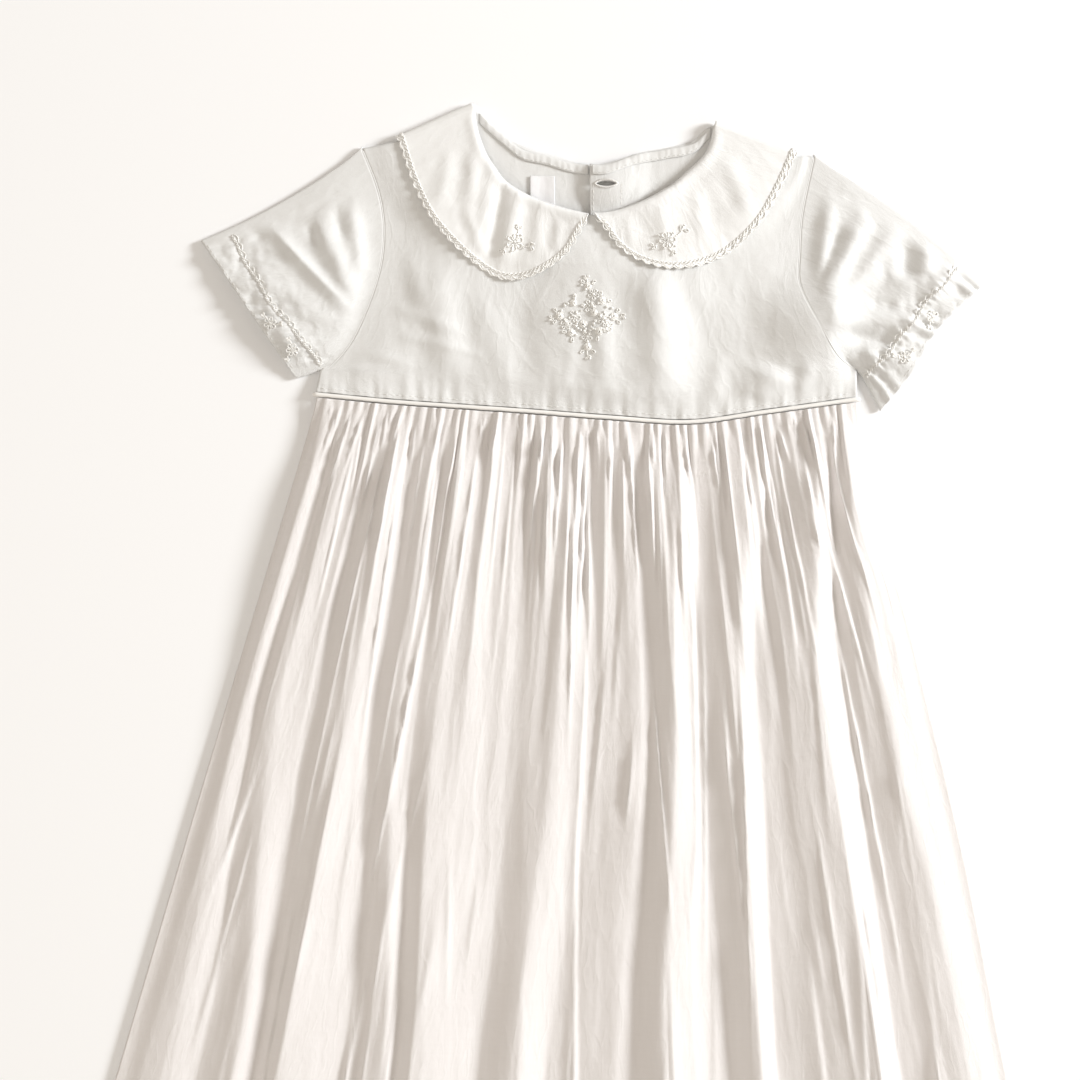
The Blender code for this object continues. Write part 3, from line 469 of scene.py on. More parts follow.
def collar_low(x, y):
    """Underside of a collar's front lobe, lying on the bodice."""
    wave = 0.3 * np.sin(0.16 * x + 0.09 * y) + 0.25 * np.sin(0.23 * y - 0.12 * x + 1.0)
    wave = wave + sum(ridge(x, y, *row) for row in COLLAR_CREASES) + 0.16 * crumple(x, y, 22, 8.0, 24.0)
    folds = front_creases(x, y)
    return front_base(x, y) + folds + WALL + COLLAR_REST + 0.5 * ease(folds / 0.6) + wave * side_clear(x, y)


def collar_top(x, y):
    """Upper side of a collar's front lobe."""
    return np.maximum(FOLD_OUTER + FOLD_INNER, collar_low(x, y)) + WALL


def bodice_top(x, y):
    return front_low(x, y) + WALL


def skirt_point(across, down):
    """Plan point of the skirt: share of its width, share of its length."""
    x0 = mix(skirt_sides(-10.0)[0], skirt_sides(-10.0)[1], across)
    top_y = waist_y(np.clip(x0, WAIST_LEFT, WAIST_RIGHT)) - CORD / 2 - SEAM
    rise = np.where(across < 0.5, HEM_RISE_LEFT, HEM_RISE_RIGHT)
    y = mix(top_y, -SKIRT_LENGTH + rise * (2 * across - 1) ** 2, down)
    sides, guide = skirt_sides(-y), skirt_guide(-y)
    near_edge = np.abs(2 * across - 1) ** 7
    left, right = (mix(guide[..., side], sides[..., side], near_edge) for side in (0, 1))
    return mix(left, right, across), y


crest_draw = np.random.default_rng(3)
CREST_SIZES = crest_draw.uniform(0.45, 1.15, GATHERS + 6)


def gathers(across, depth):
    """Height of the gathers, an uneven wave whose valleys fill in one by one."""
    turn = 2 * np.pi * across
    wave = (across * GATHERS + 0.22 * np.sin(7.3 * turn + 1.0) + 0.11 * np.sin(17.7 * turn)
            + 0.5 * (1 - ease(depth / 26)) * np.sin(11.0 * turn + depth / 9) * 0.2)
    valley = np.round(wave)
    uneven = (valley * 0.618034 + 0.11) % 1.0
    reach = mix(GATHER_SHORTEST, GATHER_LONGEST, uneven ** 3.0)
    hollow = 1 - ease(depth / reach)
    high = (GATHER_HEIGHT + GATHER_PUFF * ease(depth / 16)) * (1 - ease((depth - 50) / 170))
    high = high * np.interp(wave, np.arange(-2, GATHERS + 4) + 0.5, CREST_SIZES)
    return high * (1 - GATHER_HOLLOW * hollow * np.cos(np.pi * (wave - valley)) ** 2)


def main_folds(across, depth):
    """Height of the large folds that the gathers run into."""
    upper = ease(depth / FIRST_DEPTH)
    lower = ease((depth - FIRST_DEPTH) / (SECOND_DEPTH - FIRST_DEPTH))
    further = np.maximum(depth - SECOND_DEPTH, 0) / SECOND_DEPTH
    rows = []
    for waist, high, low, rise_high, rise_low in SKIRT_FOLDS:
        place = mix(mix(waist, high, upper), low, lower) + 0.35 * (low - high) * further
        rows.append((place, mix(rise_high, rise_low, lower)))
    height = np.zeros_like(across * depth)
    for (start, rise0), (end, rise1) in zip(rows, rows[1:]):
        share = np.clip((across - start) / (end - start), 0, 1)
        height = np.where(across >= start, mix(rise0, rise1, 0.55 * ease(share) + 0.45 * share), height)
    return height * ease((depth - 2) / 46)


# Long thin creases of the skirt: seeded, uneven in place, length and height
SKIRT_CREASE_COUNT, GATHER_CREASE_COUNT = 120, 90
crease_draw = np.random.default_rng(7)
SKIRT_CREASES = [(crease_draw.uniform(0.03, 0.97), crease_draw.uniform(0, 520), crease_draw.uniform(50, 260),
                  crease_draw.uniform(0.003, 0.011), crease_draw.uniform(0.4, 1.4),
                  crease_draw.uniform(-0.03, 0.03), crease_draw.choice([-1, 1]))
                 for _ in range(SKIRT_CREASE_COUNT)]

# Crisp creases that run down from the waist seam, in the same columns
gather_draw = np.random.default_rng(19)
GATHER_CREASES = [(gather_draw.uniform(0.01, 0.99), gather_draw.uniform(-12, 8),
                   18 + 170 * gather_draw.uniform() ** 2.2, gather_draw.uniform(0.0028, 0.0050),
                   gather_draw.uniform(0.5, 1.3), gather_draw.uniform(-0.014, 0.014),
                   gather_draw.choice([-1, 1]))
                  for _ in range(GATHER_CREASE_COUNT)]


def thin_creases(across, depth):
    """Ridges with one steep side, running down the skirt."""
    height = np.zeros_like(across * depth)
    for place, start, length, width, high, drift, steep_side in SKIRT_CREASES + GATHER_CREASES:
        along = (depth - start) / length
        fade = ease(along * 3) * ease((1 - along) * 2)
        off = (across - place - drift * along) / width
        slope = np.where(off * steep_side > 0, 3.0, 0.8)
        height += high * fade * np.exp(-np.abs(off * slope) ** 1.6)
    return height * ease((depth - 0.5) / 7)


def skirt_low(across, depth):
    """Underside of the skirt front."""
    fade = ease(across / SIDE_FADE) * ease((1 - across) / SIDE_FADE)
    seam = WAIST_LIFT * np.exp(-(depth / 12) ** 2)
    sway = 0.0022 * np.sin(depth / 23 + 31 * across) * ease(depth / 40)
    swayed = across + sway
    fine = 0.3 * crumple(across * SKIRT_SPREAD, depth, 23, 14.0, 46.0, 0.3) * ease((depth - 8) / 60)
    return LAYER + seam + fade * (gathers(swayed, depth) + main_folds(across, depth)
                                  + thin_creases(across, depth) + fine)


hem_left, hem_right = (float(skirt_point(np.array(share), np.array(1.0))[0]) for share in (0.0, 1.0))
GOWN_MIDDLE = np.array([-(hem_left + hem_right) / 2, (SKIRT_LENGTH - COLLAR_LEFT_FRONT[-1][1]) / 2, 0.0])


def in_world(points):
    """Gown millimetres to world metres."""
    return (np.asarray(points, float) + GOWN_MIDDLE) * MM


class Weave:
    """The node tree of one material, with a short way to add nodes."""

    def __init__(self, name):
        self.material = bpy.data.materials.new(name)
        self.material.use_nodes = True
        self.tree = self.material.node_tree
        self.tree.nodes.clear()
        self.end = self.tree.nodes.new("ShaderNodeOutputMaterial")

    def node(self, kind, settings=(), **inputs):
        """Adds a node: settings first, then socket values or links by name."""
        made = self.tree.nodes.new(kind)
        for key, value in dict(settings).items():
            setattr(made, key, value)
        for key, value in inputs.items():
            socket = made.inputs[int(key[1:])] if key[0] == "_" else made.inputs[key.replace("_", " ")]
            if isinstance(value, Strand):
                self.tree.links.new(value.socket, socket)
            elif isinstance(value, bpy.types.NodeSocket):
                self.tree.links.new(value, socket)
            else:
                socket.default_value = value
        return made

    def out(self, made, name=0):
        return Strand(self, made.outputs[name])

    def covered(self, shader):
        """The finished material, with its surface taken from a shader node."""
        self.tree.links.new(shader.outputs[0], self.end.inputs["Surface"])
        return self.material


class Strand:
    """A number running through a node tree, with arithmetic."""

    def __init__(self, weave, socket):
        self.weave = weave
        self.socket = socket

    def maths(self, operation, other=0.0, first=True):
        pair = (self, other) if first else (other, self)
        made = self.weave.node("ShaderNodeMath", {"operation": operation}, _0=pair[0], _1=pair[1])
        return self.weave.out(made)

    def __add__(self, other):
        return self.maths("ADD", other)

    __radd__ = __add__

    def __mul__(self, other):
        return self.maths("MULTIPLY", other)

    __rmul__ = __mul__

    def __sub__(self, other):
        return self.maths("SUBTRACT", other)

    def __rsub__(self, other):
        return self.maths("SUBTRACT", other, first=False)

    def sine(self):
        return self.maths("SINE")


def blend_colour(weave, share, dark, light):
    made = weave.node("ShaderNodeMix", {"data_type": "RGBA"}, _0=share, _6=(*dark, 1), _7=(*light, 1))
    return weave.out(made, 2)


def cotton(name, dark, light, thread=0.42, weave_depth=0.12, sheer=0.0):
    """Plain-weave cotton. The pitch of the threads is in millimetres of the cloth's own UV map."""
    weave = Weave(name)
    place = weave.node("ShaderNodeTexCoord").outputs["UV"]
    split = weave.node("ShaderNodeSeparateXYZ", _0=place)
    along, across = weave.out(split, "X"), weave.out(split, "Y")
    turn = 2 * math.pi / thread
    warp, weft = (along * turn).sine(), (across * turn).sine()
    threads = warp * weft * 0.5 + 0.5

    def streaks(stretch_x, stretch_y, scale, detail):
        spread = weave.node("ShaderNodeMapping", Vector=place, Scale=(stretch_x, stretch_y, 1))
        noise = weave.node("ShaderNodeTexNoise", Vector=spread.outputs[0], Scale=scale, Detail=detail)
        return weave.out(noise, "Fac")

    slub = streaks(1.0, 0.05, 0.9, 3.0) * 0.5 + streaks(0.05, 1.0, 0.9, 3.0) * 0.5
    cloud = streaks(1.0, 1.0, 0.035, 2.0)
    colour = blend_colour(weave, slub * 0.5 + cloud * 0.4 + threads * 0.1, dark, light)
    crumpled = streaks(1.0, 0.8, 0.13, 4.0)
    crossing = ((streaks(1.0, 0.55, 0.09, 2.0) - 0.5) * 14.0).maths("ABSOLUTE")
    fine_creases = 1.0 - crossing.maths("MINIMUM", 1.0)
    height = threads * weave_depth + slub * 0.1 + crumpled * 0.9 + fine_creases * 0.22 * 0.9
    bump = weave.node("ShaderNodeBump", Strength=0.5, Distance=0.0007, Height=height)
    rough = slub * 0.14 + 0.66
    cloth = weave.node("ShaderNodeBsdfPrincipled", Base_Color=colour, Roughness=rough, Normal=bump.outputs[0],
                       Sheen_Weight=0.25, Sheen_Roughness=0.4, Specular_IOR_Level=0.3)
    if sheer:
        glow = weave.node("ShaderNodeBsdfTranslucent", Color=(*light, 1), Normal=bump.outputs[0])
        cloth = weave.node("ShaderNodeMixShader", _0=sheer, _1=cloth.outputs[0], _2=glow.outputs[0])
    return weave.covered(cloth)


def thread(name, dark, light, twist=1.2):
    """Embroidery thread: a soft sheen and fine twisted strands."""
    weave = Weave(name)
    place = weave.node("ShaderNodeTexCoord").outputs["Object"]
    split = weave.node("ShaderNodeSeparateXYZ", _0=place)
    x, y, z = (weave.out(split, axis) for axis in "XYZ")
    turn = 2 * math.pi / (twist * MM)
    strands = ((x + y * 0.7 + z * 1.3) * turn).sine() * 0.5 + 0.5
    noise = weave.node("ShaderNodeTexNoise", Vector=place, Scale=900.0, Detail=2.0)
    colour = blend_colour(weave, strands * 0.4 + weave.out(noise, "Fac") * 0.6, dark, light)
    bump = weave.node("ShaderNodeBump", Strength=0.4, Distance=0.0003, Height=strands)
    rough = strands * 0.12 + 0.42
    cloth = weave.node("ShaderNodeBsdfPrincipled", Base_Color=colour, Roughness=rough, Normal=bump.outputs[0],
                       Sheen_Weight=0.3, Sheen_Roughness=0.3)
    return weave.covered(cloth)


def shell_button(name):
    """Pale polished shell: drifting bands under a clear coat."""
    weave = Weave(name)
    place = weave.node("ShaderNodeTexCoord").outputs["Object"]
    spread = weave.node("ShaderNodeMapping", Vector=place, Scale=(1.0, 3.0, 1.0))
    noise = weave.node("ShaderNodeTexNoise", Vector=spread.outputs[0], Scale=260.0, Detail=4.0,
                       Distortion=1.5)
    drift = weave.out(noise, "Fac")
    colour = blend_colour(weave, drift, (0.80, 0.78, 0.74), (0.95, 0.94, 0.92))
    gloss = weave.node("ShaderNodeBsdfPrincipled", Base_Color=colour, Roughness=drift * 0.1 + 0.18,
                       Coat_Weight=0.6, Coat_Roughness=0.08)
    return weave.covered(gloss)


lawn = cotton("white_lawn", (0.80, 0.80, 0.79), (0.927, 0.932, 0.932), sheer=0.10)
skirt_lawn = cotton("skirt_lawn", (0.835, 0.80, 0.785), (0.952, 0.93, 0.928), sheer=0.10)
collar_cotton = cotton("collar_cotton", (0.87, 0.872, 0.866), (0.967, 0.972, 0.975), sheer=0.04)
tape = cotton("label_tape", (0.86, 0.86, 0.88), (0.96, 0.96, 0.98), thread=0.6, weave_depth=0.25)
piping_cotton = cotton("piping_cotton", (0.83, 0.815, 0.785), (0.94, 0.93, 0.91))
silk = thread("embroidery_thread", (0.86, 0.85, 0.82), (0.97, 0.965, 0.95))
shell = shell_button("button_shell")


def keep(piece):
    """Rides with the gown's one body."""
    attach(piece, "root")
    return piece


def sheet_piece(name, points, cut, material, node, thick=SHELL, upward=False, closed=False):
    """A fine sheet through a grid of points, given its thickness as a shell.

    points is rows x columns x 3 in gown millimetres; cut is the cloth's own width and length.
    """
    rows, columns = points.shape[:2]
    bpy.ops.mesh.primitive_grid_add(x_subdivisions=columns - 1, y_subdivisions=rows - 1, size=1)
    piece = bpy.context.object
    piece.name = name
    mesh = piece.data
    mesh.name = name
    mesh.vertices.foreach_set("co", in_world(points).reshape(-1).astype(np.float32))
    corner = np.zeros(len(mesh.loops), np.int32)
    mesh.loops.foreach_get("vertex_index", corner)
    flat = np.column_stack([corner % columns / (columns - 1) * cut[0],
                            corner // columns / (rows - 1) * cut[1]])
    mesh.uv_layers[0].data.foreach_set("uv", flat.reshape(-1).astype(np.float32))
    if closed:
        joined = bmesh.new()
        joined.from_mesh(mesh)
        bmesh.ops.remove_doubles(joined, verts=joined.verts[:], dist=1e-6)
        joined.to_mesh(mesh)
        joined.free()
    place = points[rows // 2, 2]
    facing = np.cross(points[rows // 2, 3] - place, points[rows // 2 + 1, 2] - place)[2]
    if facing < 0:
        mesh.flip_normals()
    mesh.shade_smooth()
    mesh.update()
    mesh.materials.append(material)
    wall = piece.modifiers.new("wall", "SOLIDIFY")
    wall.thickness = thick * MM
    wall.offset = 1.0 if upward else -1.0
    wall.use_even_offset = False
    keep(piece)
    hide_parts(node)
    return piece


def raised(points, steepest=2.5):
    """Upper side of a lying wall: raised by its thickness along z, more on slopes."""
    step = np.linalg.norm(np.diff(points[..., :2], axis=1), axis=2)
    rise = np.abs(np.diff(points[..., 2], axis=1)) / np.maximum(step, 1e-6)
    steep = np.zeros(points.shape[:2])
    steep[:, :-1] = rise
    steep[:, 1:] = np.maximum(steep[:, 1:], rise)
    high = points.copy()
    high[..., 2] += WALL * np.hypot(1, np.minimum(steep, steepest))
    return high


# Panels of the bodice

def bend(edge, up):
    straight = mix(edge(0.0), edge(1.0), up[:, None])
    return edge(up) - straight


def patch(bottom, top, left, right, across, up, height):
    """Fine points of a panel between its four edges, with its height from the plan point."""
    foot, head = bottom(across), top(across)
    near_left, near_right = np.maximum(1 - 2 * across, 0), np.maximum(2 * across - 1, 0)
    plan = (mix(foot[None], head[None], up[:, None, None])
            + near_left[None, :, None] * bend(left, up)[:, None]
            + near_right[None, :, None] * bend(right, up)[:, None])
    x, y = plan[..., 0], plan[..., 1]
    return np.stack([x, y, height(x, y)], axis=-1)


def side_edge(seam_foot, armhole):
    """Side seam up to the underarm, then the armhole up to the shoulder."""
    hollow = course(armhole)

    def read(share):
        share = np.asarray(share, float)
        seam = mix(np.array(seam_foot), np.array(armhole[0]), (share / UNDERARM_SHARE)[..., None])
        return np.where((share <= UNDERARM_SHARE)[..., None], seam,
                        hollow((share - UNDERARM_SHARE) / (1 - UNDERARM_SHARE)))
    return read


def through(corners):
    """Straight lines between corners given as share, x, y."""
    corners = np.array(corners, float)

    def read(share):
        return np.stack([np.interp(share, corners[:, 0], corners[:, 1]),
                         np.interp(share, corners[:, 0], corners[:, 2])], axis=-1)
    return read


def fold_line(front_rows):
    neck, edge = np.array(front_rows[-1][:2]), np.array(front_rows[-1][2:])
    along = (neck - edge) / np.linalg.norm(neck - edge)
    outward = np.array([-along[1], along[0]])
    outward = outward if outward[1] > 0 else -outward
    return neck - outward * FOLD_OUTER, edge - outward * FOLD_OUTER, outward


def shoulder_corners(front_rows):
    neck, edge, outward = fold_line(front_rows)
    along = (neck - edge) / np.linalg.norm(neck - edge)
    return edge - along * 0.6 - outward * 0.1, neck - along * NECK_INSET - outward * 0.1


def away_from_neck(x, y, distance):
    out = np.array([x - NECK_MIDDLE[0], y - NECK_MIDDLE[1]])
    return np.array([x, y]) + out / np.linalg.norm(out) * distance


waist_gap = CORD / 2 + SEAM
SIDE_LEFT, SIDE_RIGHT = ((x, float(waist_y(x)) + waist_gap) for x in (WAIST_LEFT, WAIST_RIGHT))
edge_left = side_edge(SIDE_LEFT, ARMHOLE_LEFT)
edge_right = side_edge(SIDE_RIGHT, ARMHOLE_RIGHT)
outer_left, neck_left = shoulder_corners(COLLAR_LEFT_FRONT)
outer_right, neck_right = shoulder_corners(COLLAR_RIGHT_FRONT)


def foot_at(x):
    return np.stack([x, waist_y(x) + waist_gap], axis=-1)


def make_bodice_front():
    """The front of the bodice with its round neck."""
    neck = course([neck_left]
                  + [away_from_neck(row[0], row[1], NECK_INSET) for row in COLLAR_LEFT_FRONT[-2:0:-1]]
                  + [(0.4, 94.2)]
                  + [away_from_neck(row[0], row[1], NECK_INSET) for row in COLLAR_RIGHT_FRONT[1:-1]]
                  + [neck_right])
    left_shoulder = through([(0.0, *ARMHOLE_LEFT[-1]), (0.08, *outer_left), (0.2, *neck_left)])
    right_shoulder = through([(0.8, *neck_right), (0.92, *outer_right), (1.0, *ARMHOLE_RIGHT[-1])])

    def top(share):
        middle = neck((share - 0.2) / 0.6)
        sided = np.where((share < 0.5)[..., None], left_shoulder(share), right_shoulder(share))
        return np.where(((share < 0.2) | (share > 0.8))[..., None], sided, middle)

    def bottom(share):
        return foot_at(mix(SIDE_LEFT[0], SIDE_RIGHT[0], share))

    across, up = np.linspace(0, 1, 221), np.linspace(0, 1, 105) ** 1.25
    low = patch(bottom, top, edge_left, edge_right, across, up, front_low)
    piece = sheet_piece("bodice_front_cloth", raised(low), (262, 150), lawn, "bodice_front")


def filled(points):
    """Fills the gaps between known points with even steps."""
    known = [i for i, point in enumerate(points) if point is not None]
    return [tuple(np.interp(i, known, [points[k][axis] for k in known]) for axis in (0, 1))
            for i in range(len(points))]


def lens(across):
    """Draws a round opening in to two points."""
    return across * abs(across) ** 0.6


PANEL_COLUMNS, PANEL_ROWS = 121, 90
CUTTER_RADIUS = 0.5 * MM


def make_backs():
    """The two lapped backs, the right one with its buttonholes."""
    lap = [0.0, 5.0, 10.0, 15.0, 20.0]

    def tops(lines):
        return [(x, float(back_neck_y(x))) for x in lines]

    def straight_edge(x):
        foot, head = foot_at(np.array(x)), np.array((x, float(back_neck_y(x))))
        return lambda share: mix(foot, head, np.asarray(share)[..., None])

    def panel(name, feet, heads, left, right, height, cut):
        lines = np.linspace(0, 1, len(feet))
        head_line = through([(share, *head) for share, head in zip(lines, heads)])
        low = patch(lambda share: foot_at(np.interp(share, lines, feet)), head_line, left, right,
                    np.linspace(0, 1, PANEL_COLUMNS), np.linspace(0, 1, PANEL_ROWS), height)
        piece = sheet_piece(name + "_cloth", low, cut, lawn, name, thick=WALL, upward=True)
        return piece

    left_feet = [WAIST_LEFT, -119.0, -107.0, -93.0, -78.0, -62.0, -47.0, -32.0, -16.0, -7.0] + lap
    left_heads = filled([ARMHOLE_LEFT[-1], None, outer_left, None, None, neck_left])
    left_heads += tops([-38.0, -25.0, -14.0, -6.0]) + tops(lap)
    right_feet = lap + [28.0, 36.0, 52.0, 67.0, 83.0, 97.0, 111.0, 120.0, WAIST_RIGHT]
    right_heads = tops(lap) + tops([27.0, 36.0, 47.0])
    right_heads += filled([neck_right, None, None, outer_right, None, ARMHOLE_RIGHT[-1]])
    panel("bodice_back_left", left_feet, left_heads, edge_left, straight_edge(LAP_UNDER_EDGE),
          back_low, (152, 150))
    right = panel("bodice_back_right", right_feet, right_heads, straight_edge(LAP_EDGE), edge_right,
                  back_right_low, (129, 150))
    for number, (_, hole_y, gape) in enumerate(BUTTON_ROWS):
        bpy.ops.mesh.primitive_cylinder_add(vertices=32, radius=CUTTER_RADIUS, depth=24 * MM)
        slot = bpy.context.object
        slot.name = f"buttonhole_cutter_{number + 1}"
        for corner in slot.data.vertices:
            corner.co.y = lens(corner.co.y / CUTTER_RADIUS) * CUTTER_RADIUS
        slot.scale = (BUTTONHOLE_LENGTH, gape, 1)
        slot.location = in_world((CENTRE_BACK, hole_y, 6.0))
        slot.hide_render = True
        slot.hide_viewport = True
        cut = right.modifiers.new("buttonhole", "BOOLEAN")
        cut.operation = "DIFFERENCE"
        cut.object = slot


def make_bindings():
    """The turned strips inside the back neck."""
    left_reach = (BINDING_LEFT[0] - BINDING_ON_LEFT, BINDING_LEFT[1])
    right_reach = (BINDING_RIGHT[0], BINDING_RIGHT[1] + BINDING_ON_RIGHT)
    for name, (left, right), height in (("neck_binding_left", left_reach, back_low),
                                        ("neck_binding_right", right_reach, back_right_low)):
        x = np.linspace(left, right, 110)[None, :] * np.ones((16, 1))
        across = np.linspace(0, 1, 16)[:, None]
        y = back_neck_y(x) - mix(BINDING_DEPTH, BINDING_EDGE, across)
        plump = np.sin(np.pi * np.clip(across, 0.02, 0.98)) ** 0.35
        far_end = (x - left) if left < 0 else (right - x)
        ripple = 0.07 * np.sin(1.9 * x + 0.7 * np.sin(0.5 * x)) * plump
        lift = 0.35 + 0.75 * plump * ease(far_end / 4) + ripple
        points = np.stack([x, y, height(x, y) + WALL + lift], axis=-1)
        length = right - left
        piece = sheet_piece(name + "_cloth", points, (length * 1.1, 5), lawn, name, thick=0.3)
        length * 1.05 * MM
        length * 0.0054 * MM


def make_label():
    """The bare tape label inside the back neck."""
    left, right, top, bottom = LABEL
    x, y = np.meshgrid(np.linspace(left, right, 26), np.linspace(bottom, top, 30))
    curl = 0.2 * np.cos((x - left) / (right - left) * 2 * np.pi) * ease((y - bottom) / 5)
    points = np.stack([x, y, back_low(x, y) + WALL + 0.65 + curl], axis=-1)
    piece = sheet_piece("neck_label_tape", points, (12, top - bottom), tape, "neck_label",
                        thick=0.3)


def frames(path):
    """Directions along, beside and above a line, turning as little as they can."""
    ahead = np.gradient(path, axis=0)
    ahead /= np.maximum(np.linalg.norm(ahead, axis=1), 1e-9)[:, None]
    beside = np.cross(ahead, (0.0, 0.0, 1.0))
    current = beside[0] if np.linalg.norm(beside[0]) > 1e-3 else np.array([1.0, 0.0, 0.0])
    for i, forward in enumerate(ahead):
        current = current - forward * current.dot(forward)
        current = current / np.linalg.norm(current)
        beside[i] = current
    return ahead, beside, np.cross(beside, ahead)


def even(path, step):
    """The same line with points at even steps."""
    run = run_along(path)
    places = np.linspace(0, run[-1], max(int(run[-1] / step), 4))
    return read_line(places, run, path), places


def braid(path, loop_side=0, width=0.55, pitch=3.4, loop=1.5, loop_pitch=4.6):
    """Two twisted strands along a line, with a row of small loops beside them."""
    path, run = even(path, 0.42)
    _, beside, above = frames(path)
    strands = []
    for phase in (0.0, np.pi):
        turn = 2 * np.pi * run / pitch + phase
        strands.append(path + beside * (np.cos(turn) * width)[:, None]
                       + above * (np.sin(turn) * 0.22)[:, None])
    for side in ((-1, 1) if loop_side == 0 else (loop_side,)):
        reach = side * (0.7 + loop * np.abs(np.sin(np.pi * run / loop_pitch + (0.8 if side > 0 else 0.0))))
        strands.append(path + beside * reach[:, None] - above * 0.05)
    return strands


def laid(points, height, off):
    """Lays a flat line on a surface."""
    points = np.asarray(points, float)
    return np.column_stack([points[:, 0], points[:, 1], height(points[:, 0], points[:, 1]) + off])


def around(x, y, radius, start, turns, count, squash=1.0, lean=0.0):
    angle = start + np.linspace(0, 2 * np.pi * turns, count)
    radius = radius * np.ones(count)
    flat = np.column_stack([radius * np.cos(angle), squash * radius * np.sin(angle)])
    spin = np.array([[math.cos(lean), math.sin(lean)], [-math.sin(lean), math.cos(lean)]])
    return flat @ spin + (x, y)


def knot(x, y, height, size=0.42):
    line = laid(around(x, y, size, x * 7, 1.2, 9), height, 0.42)
    line[:, 2] += np.linspace(0, 0.3, len(line))
    return line


def rose(x, y, size, height, start=0.0):
    """A small wound rose: a thread spiral that rises to its middle."""
    share = np.linspace(0, 1, 46)
    line = laid(around(x, y, size * (1 - 0.82 * share), start, 2.6, 46), height, 0.3)
    line[:, 2] += 0.75 * share ** 1.5
    return line


def leaf(x, y, length, lean, height, plump=0.36):
    """A looped leaf stitch that starts at a point and leans away from it."""
    share = np.linspace(0, 1, 14)
    out = length * np.sin(np.pi * share) ** 0.8
    beside = plump * length * np.sin(2 * np.pi * share) * 0.62
    flat = np.column_stack([x + out * math.cos(lean) - beside * math.sin(lean),
                            y + out * math.sin(lean) + beside * math.cos(lean)])
    return laid(flat, height, 0.3)


def beyond(x, y, reach, lean):
    """The point that lies at a reach from x, y in the direction of a lean."""
    return x + reach * math.cos(lean), y + reach * math.sin(lean)


def daisy(x, y, size, petals, start, height):
    """Looped petals round a knot."""
    leans = [start + 2 * math.pi * number / petals for number in range(petals)]
    looped = [leaf(*beyond(x, y, 0.4, lean), size, lean, height, plump=0.5) for lean in leans]
    return looped + [knot(x, y, height)]


def spray(x, y, lean, length, height):
    """A bent stem with two leaves and a knot at its end."""
    share = np.linspace(0, 1, 12)
    bent = lean + 0.5 * share
    flat = np.column_stack([x + length * share * np.cos(bent), y + length * share * np.sin(bent)])
    tip = flat[-1]
    return [laid(flat, height, 0.22), leaf(*flat[6], length * 0.42, lean + 1.1, height),
            leaf(*flat[8], length * 0.4, lean - 0.6, height), knot(*tip, height, 0.3)]


# Flowers on the collar lobes: x, y, petal length, petals, first petal's turn
COLLAR_FLOWERS = {"collar_left": (-36.0, 81.0, 3.5, 6, 0.4), "collar_right": (37.0, 82.0, 3.5, 6, 0.1)}
# Sprays beside them: x, y from the flower, lean, length
COLLAR_SPRAYS = {"collar_left": ((3.0, -1.5, -0.4, 6.0), (-3.2, -1.0, -2.6, 5.5), (1.0, 3.5, 1.0, 4.6)),
                 "collar_right": ((3.2, 1.6, 0.35, 7.5), (-3.0, -1.0, 3.3, 5.0), (0.5, -3.4, -1.2, 4.4))}
# How far each braid lies inside the edge of its collar or sleeve
COLLAR_BRAID_INSET = 2.7
TRIM_INSET = 14.0


def add_collar_trim(node, front, back, flat, outward, edge):
    """Braid, edge stitching and flowers of one collar half."""
    def inside_edge(section):
        out = section[:, 2:] - section[:, :2]
        width = np.linalg.norm(out, axis=1)[:, None]
        return section[:, :2] + out * np.clip(1 - COLLAR_BRAID_INSET / width, 0.35, 1)

    top = laid(inside_edge(front(np.linspace(0.02, 1, 260))), collar_top, 0.16)
    share = 1 - COLLAR_BRAID_INSET / np.linalg.norm(flat[2:] - flat[:2])
    fold = mix(flat[:2], flat[2:], share)
    angle = np.pi * (0.5 - np.linspace(0, 1, 14)[1:-1])
    radius = FOLD_OUTER + 0.3
    loop = np.column_stack([fold[0] + outward[0] * radius * np.cos(angle),
                            fold[1] + outward[1] * radius * np.cos(angle),
                            FOLD_OUTER + radius * np.sin(angle)])
    line = inside_edge(back(np.linspace(0, 0.97, 160)))
    under = np.column_stack([line, np.full(len(line), 0.3)])
    path = np.concatenate([top, loop, under])
    strands = braid(path, loop_side=-1 if node == "collar_left" else 1, width=0.55, pitch=4.3, loop=1.6,
                    loop_pitch=5.2)
    thread_mesh(node + "_braid", strands, 0.3)
    thread_mesh(node + "_edging", [even(edge, 0.5)[0]], 0.3)
    x, y, size, petals, start = COLLAR_FLOWERS[node]
    flower = daisy(x, y, size, petals, start, collar_top)
    for off_x, off_y, lean, length in COLLAR_SPRAYS[node]:
        flower += spray(x + off_x, y + off_y, lean, length, collar_top)
    for lean in (0.9, 2.6, 4.4, 5.6):
        flower.append(knot(x + 5.0 * math.cos(lean), y + 4.4 * math.sin(lean), collar_top, 0.3))
    thread_mesh(node + "_flower", flower, 0.29)


# Flowers near the sleeve hems: distance along from the hem, share across
SLEEVE_FLOWERS = {"sleeve_left": ((6.2, 0.62), (7.0, 0.83)), "sleeve_right": ((6.8, 0.42), (6.8, 0.70))}


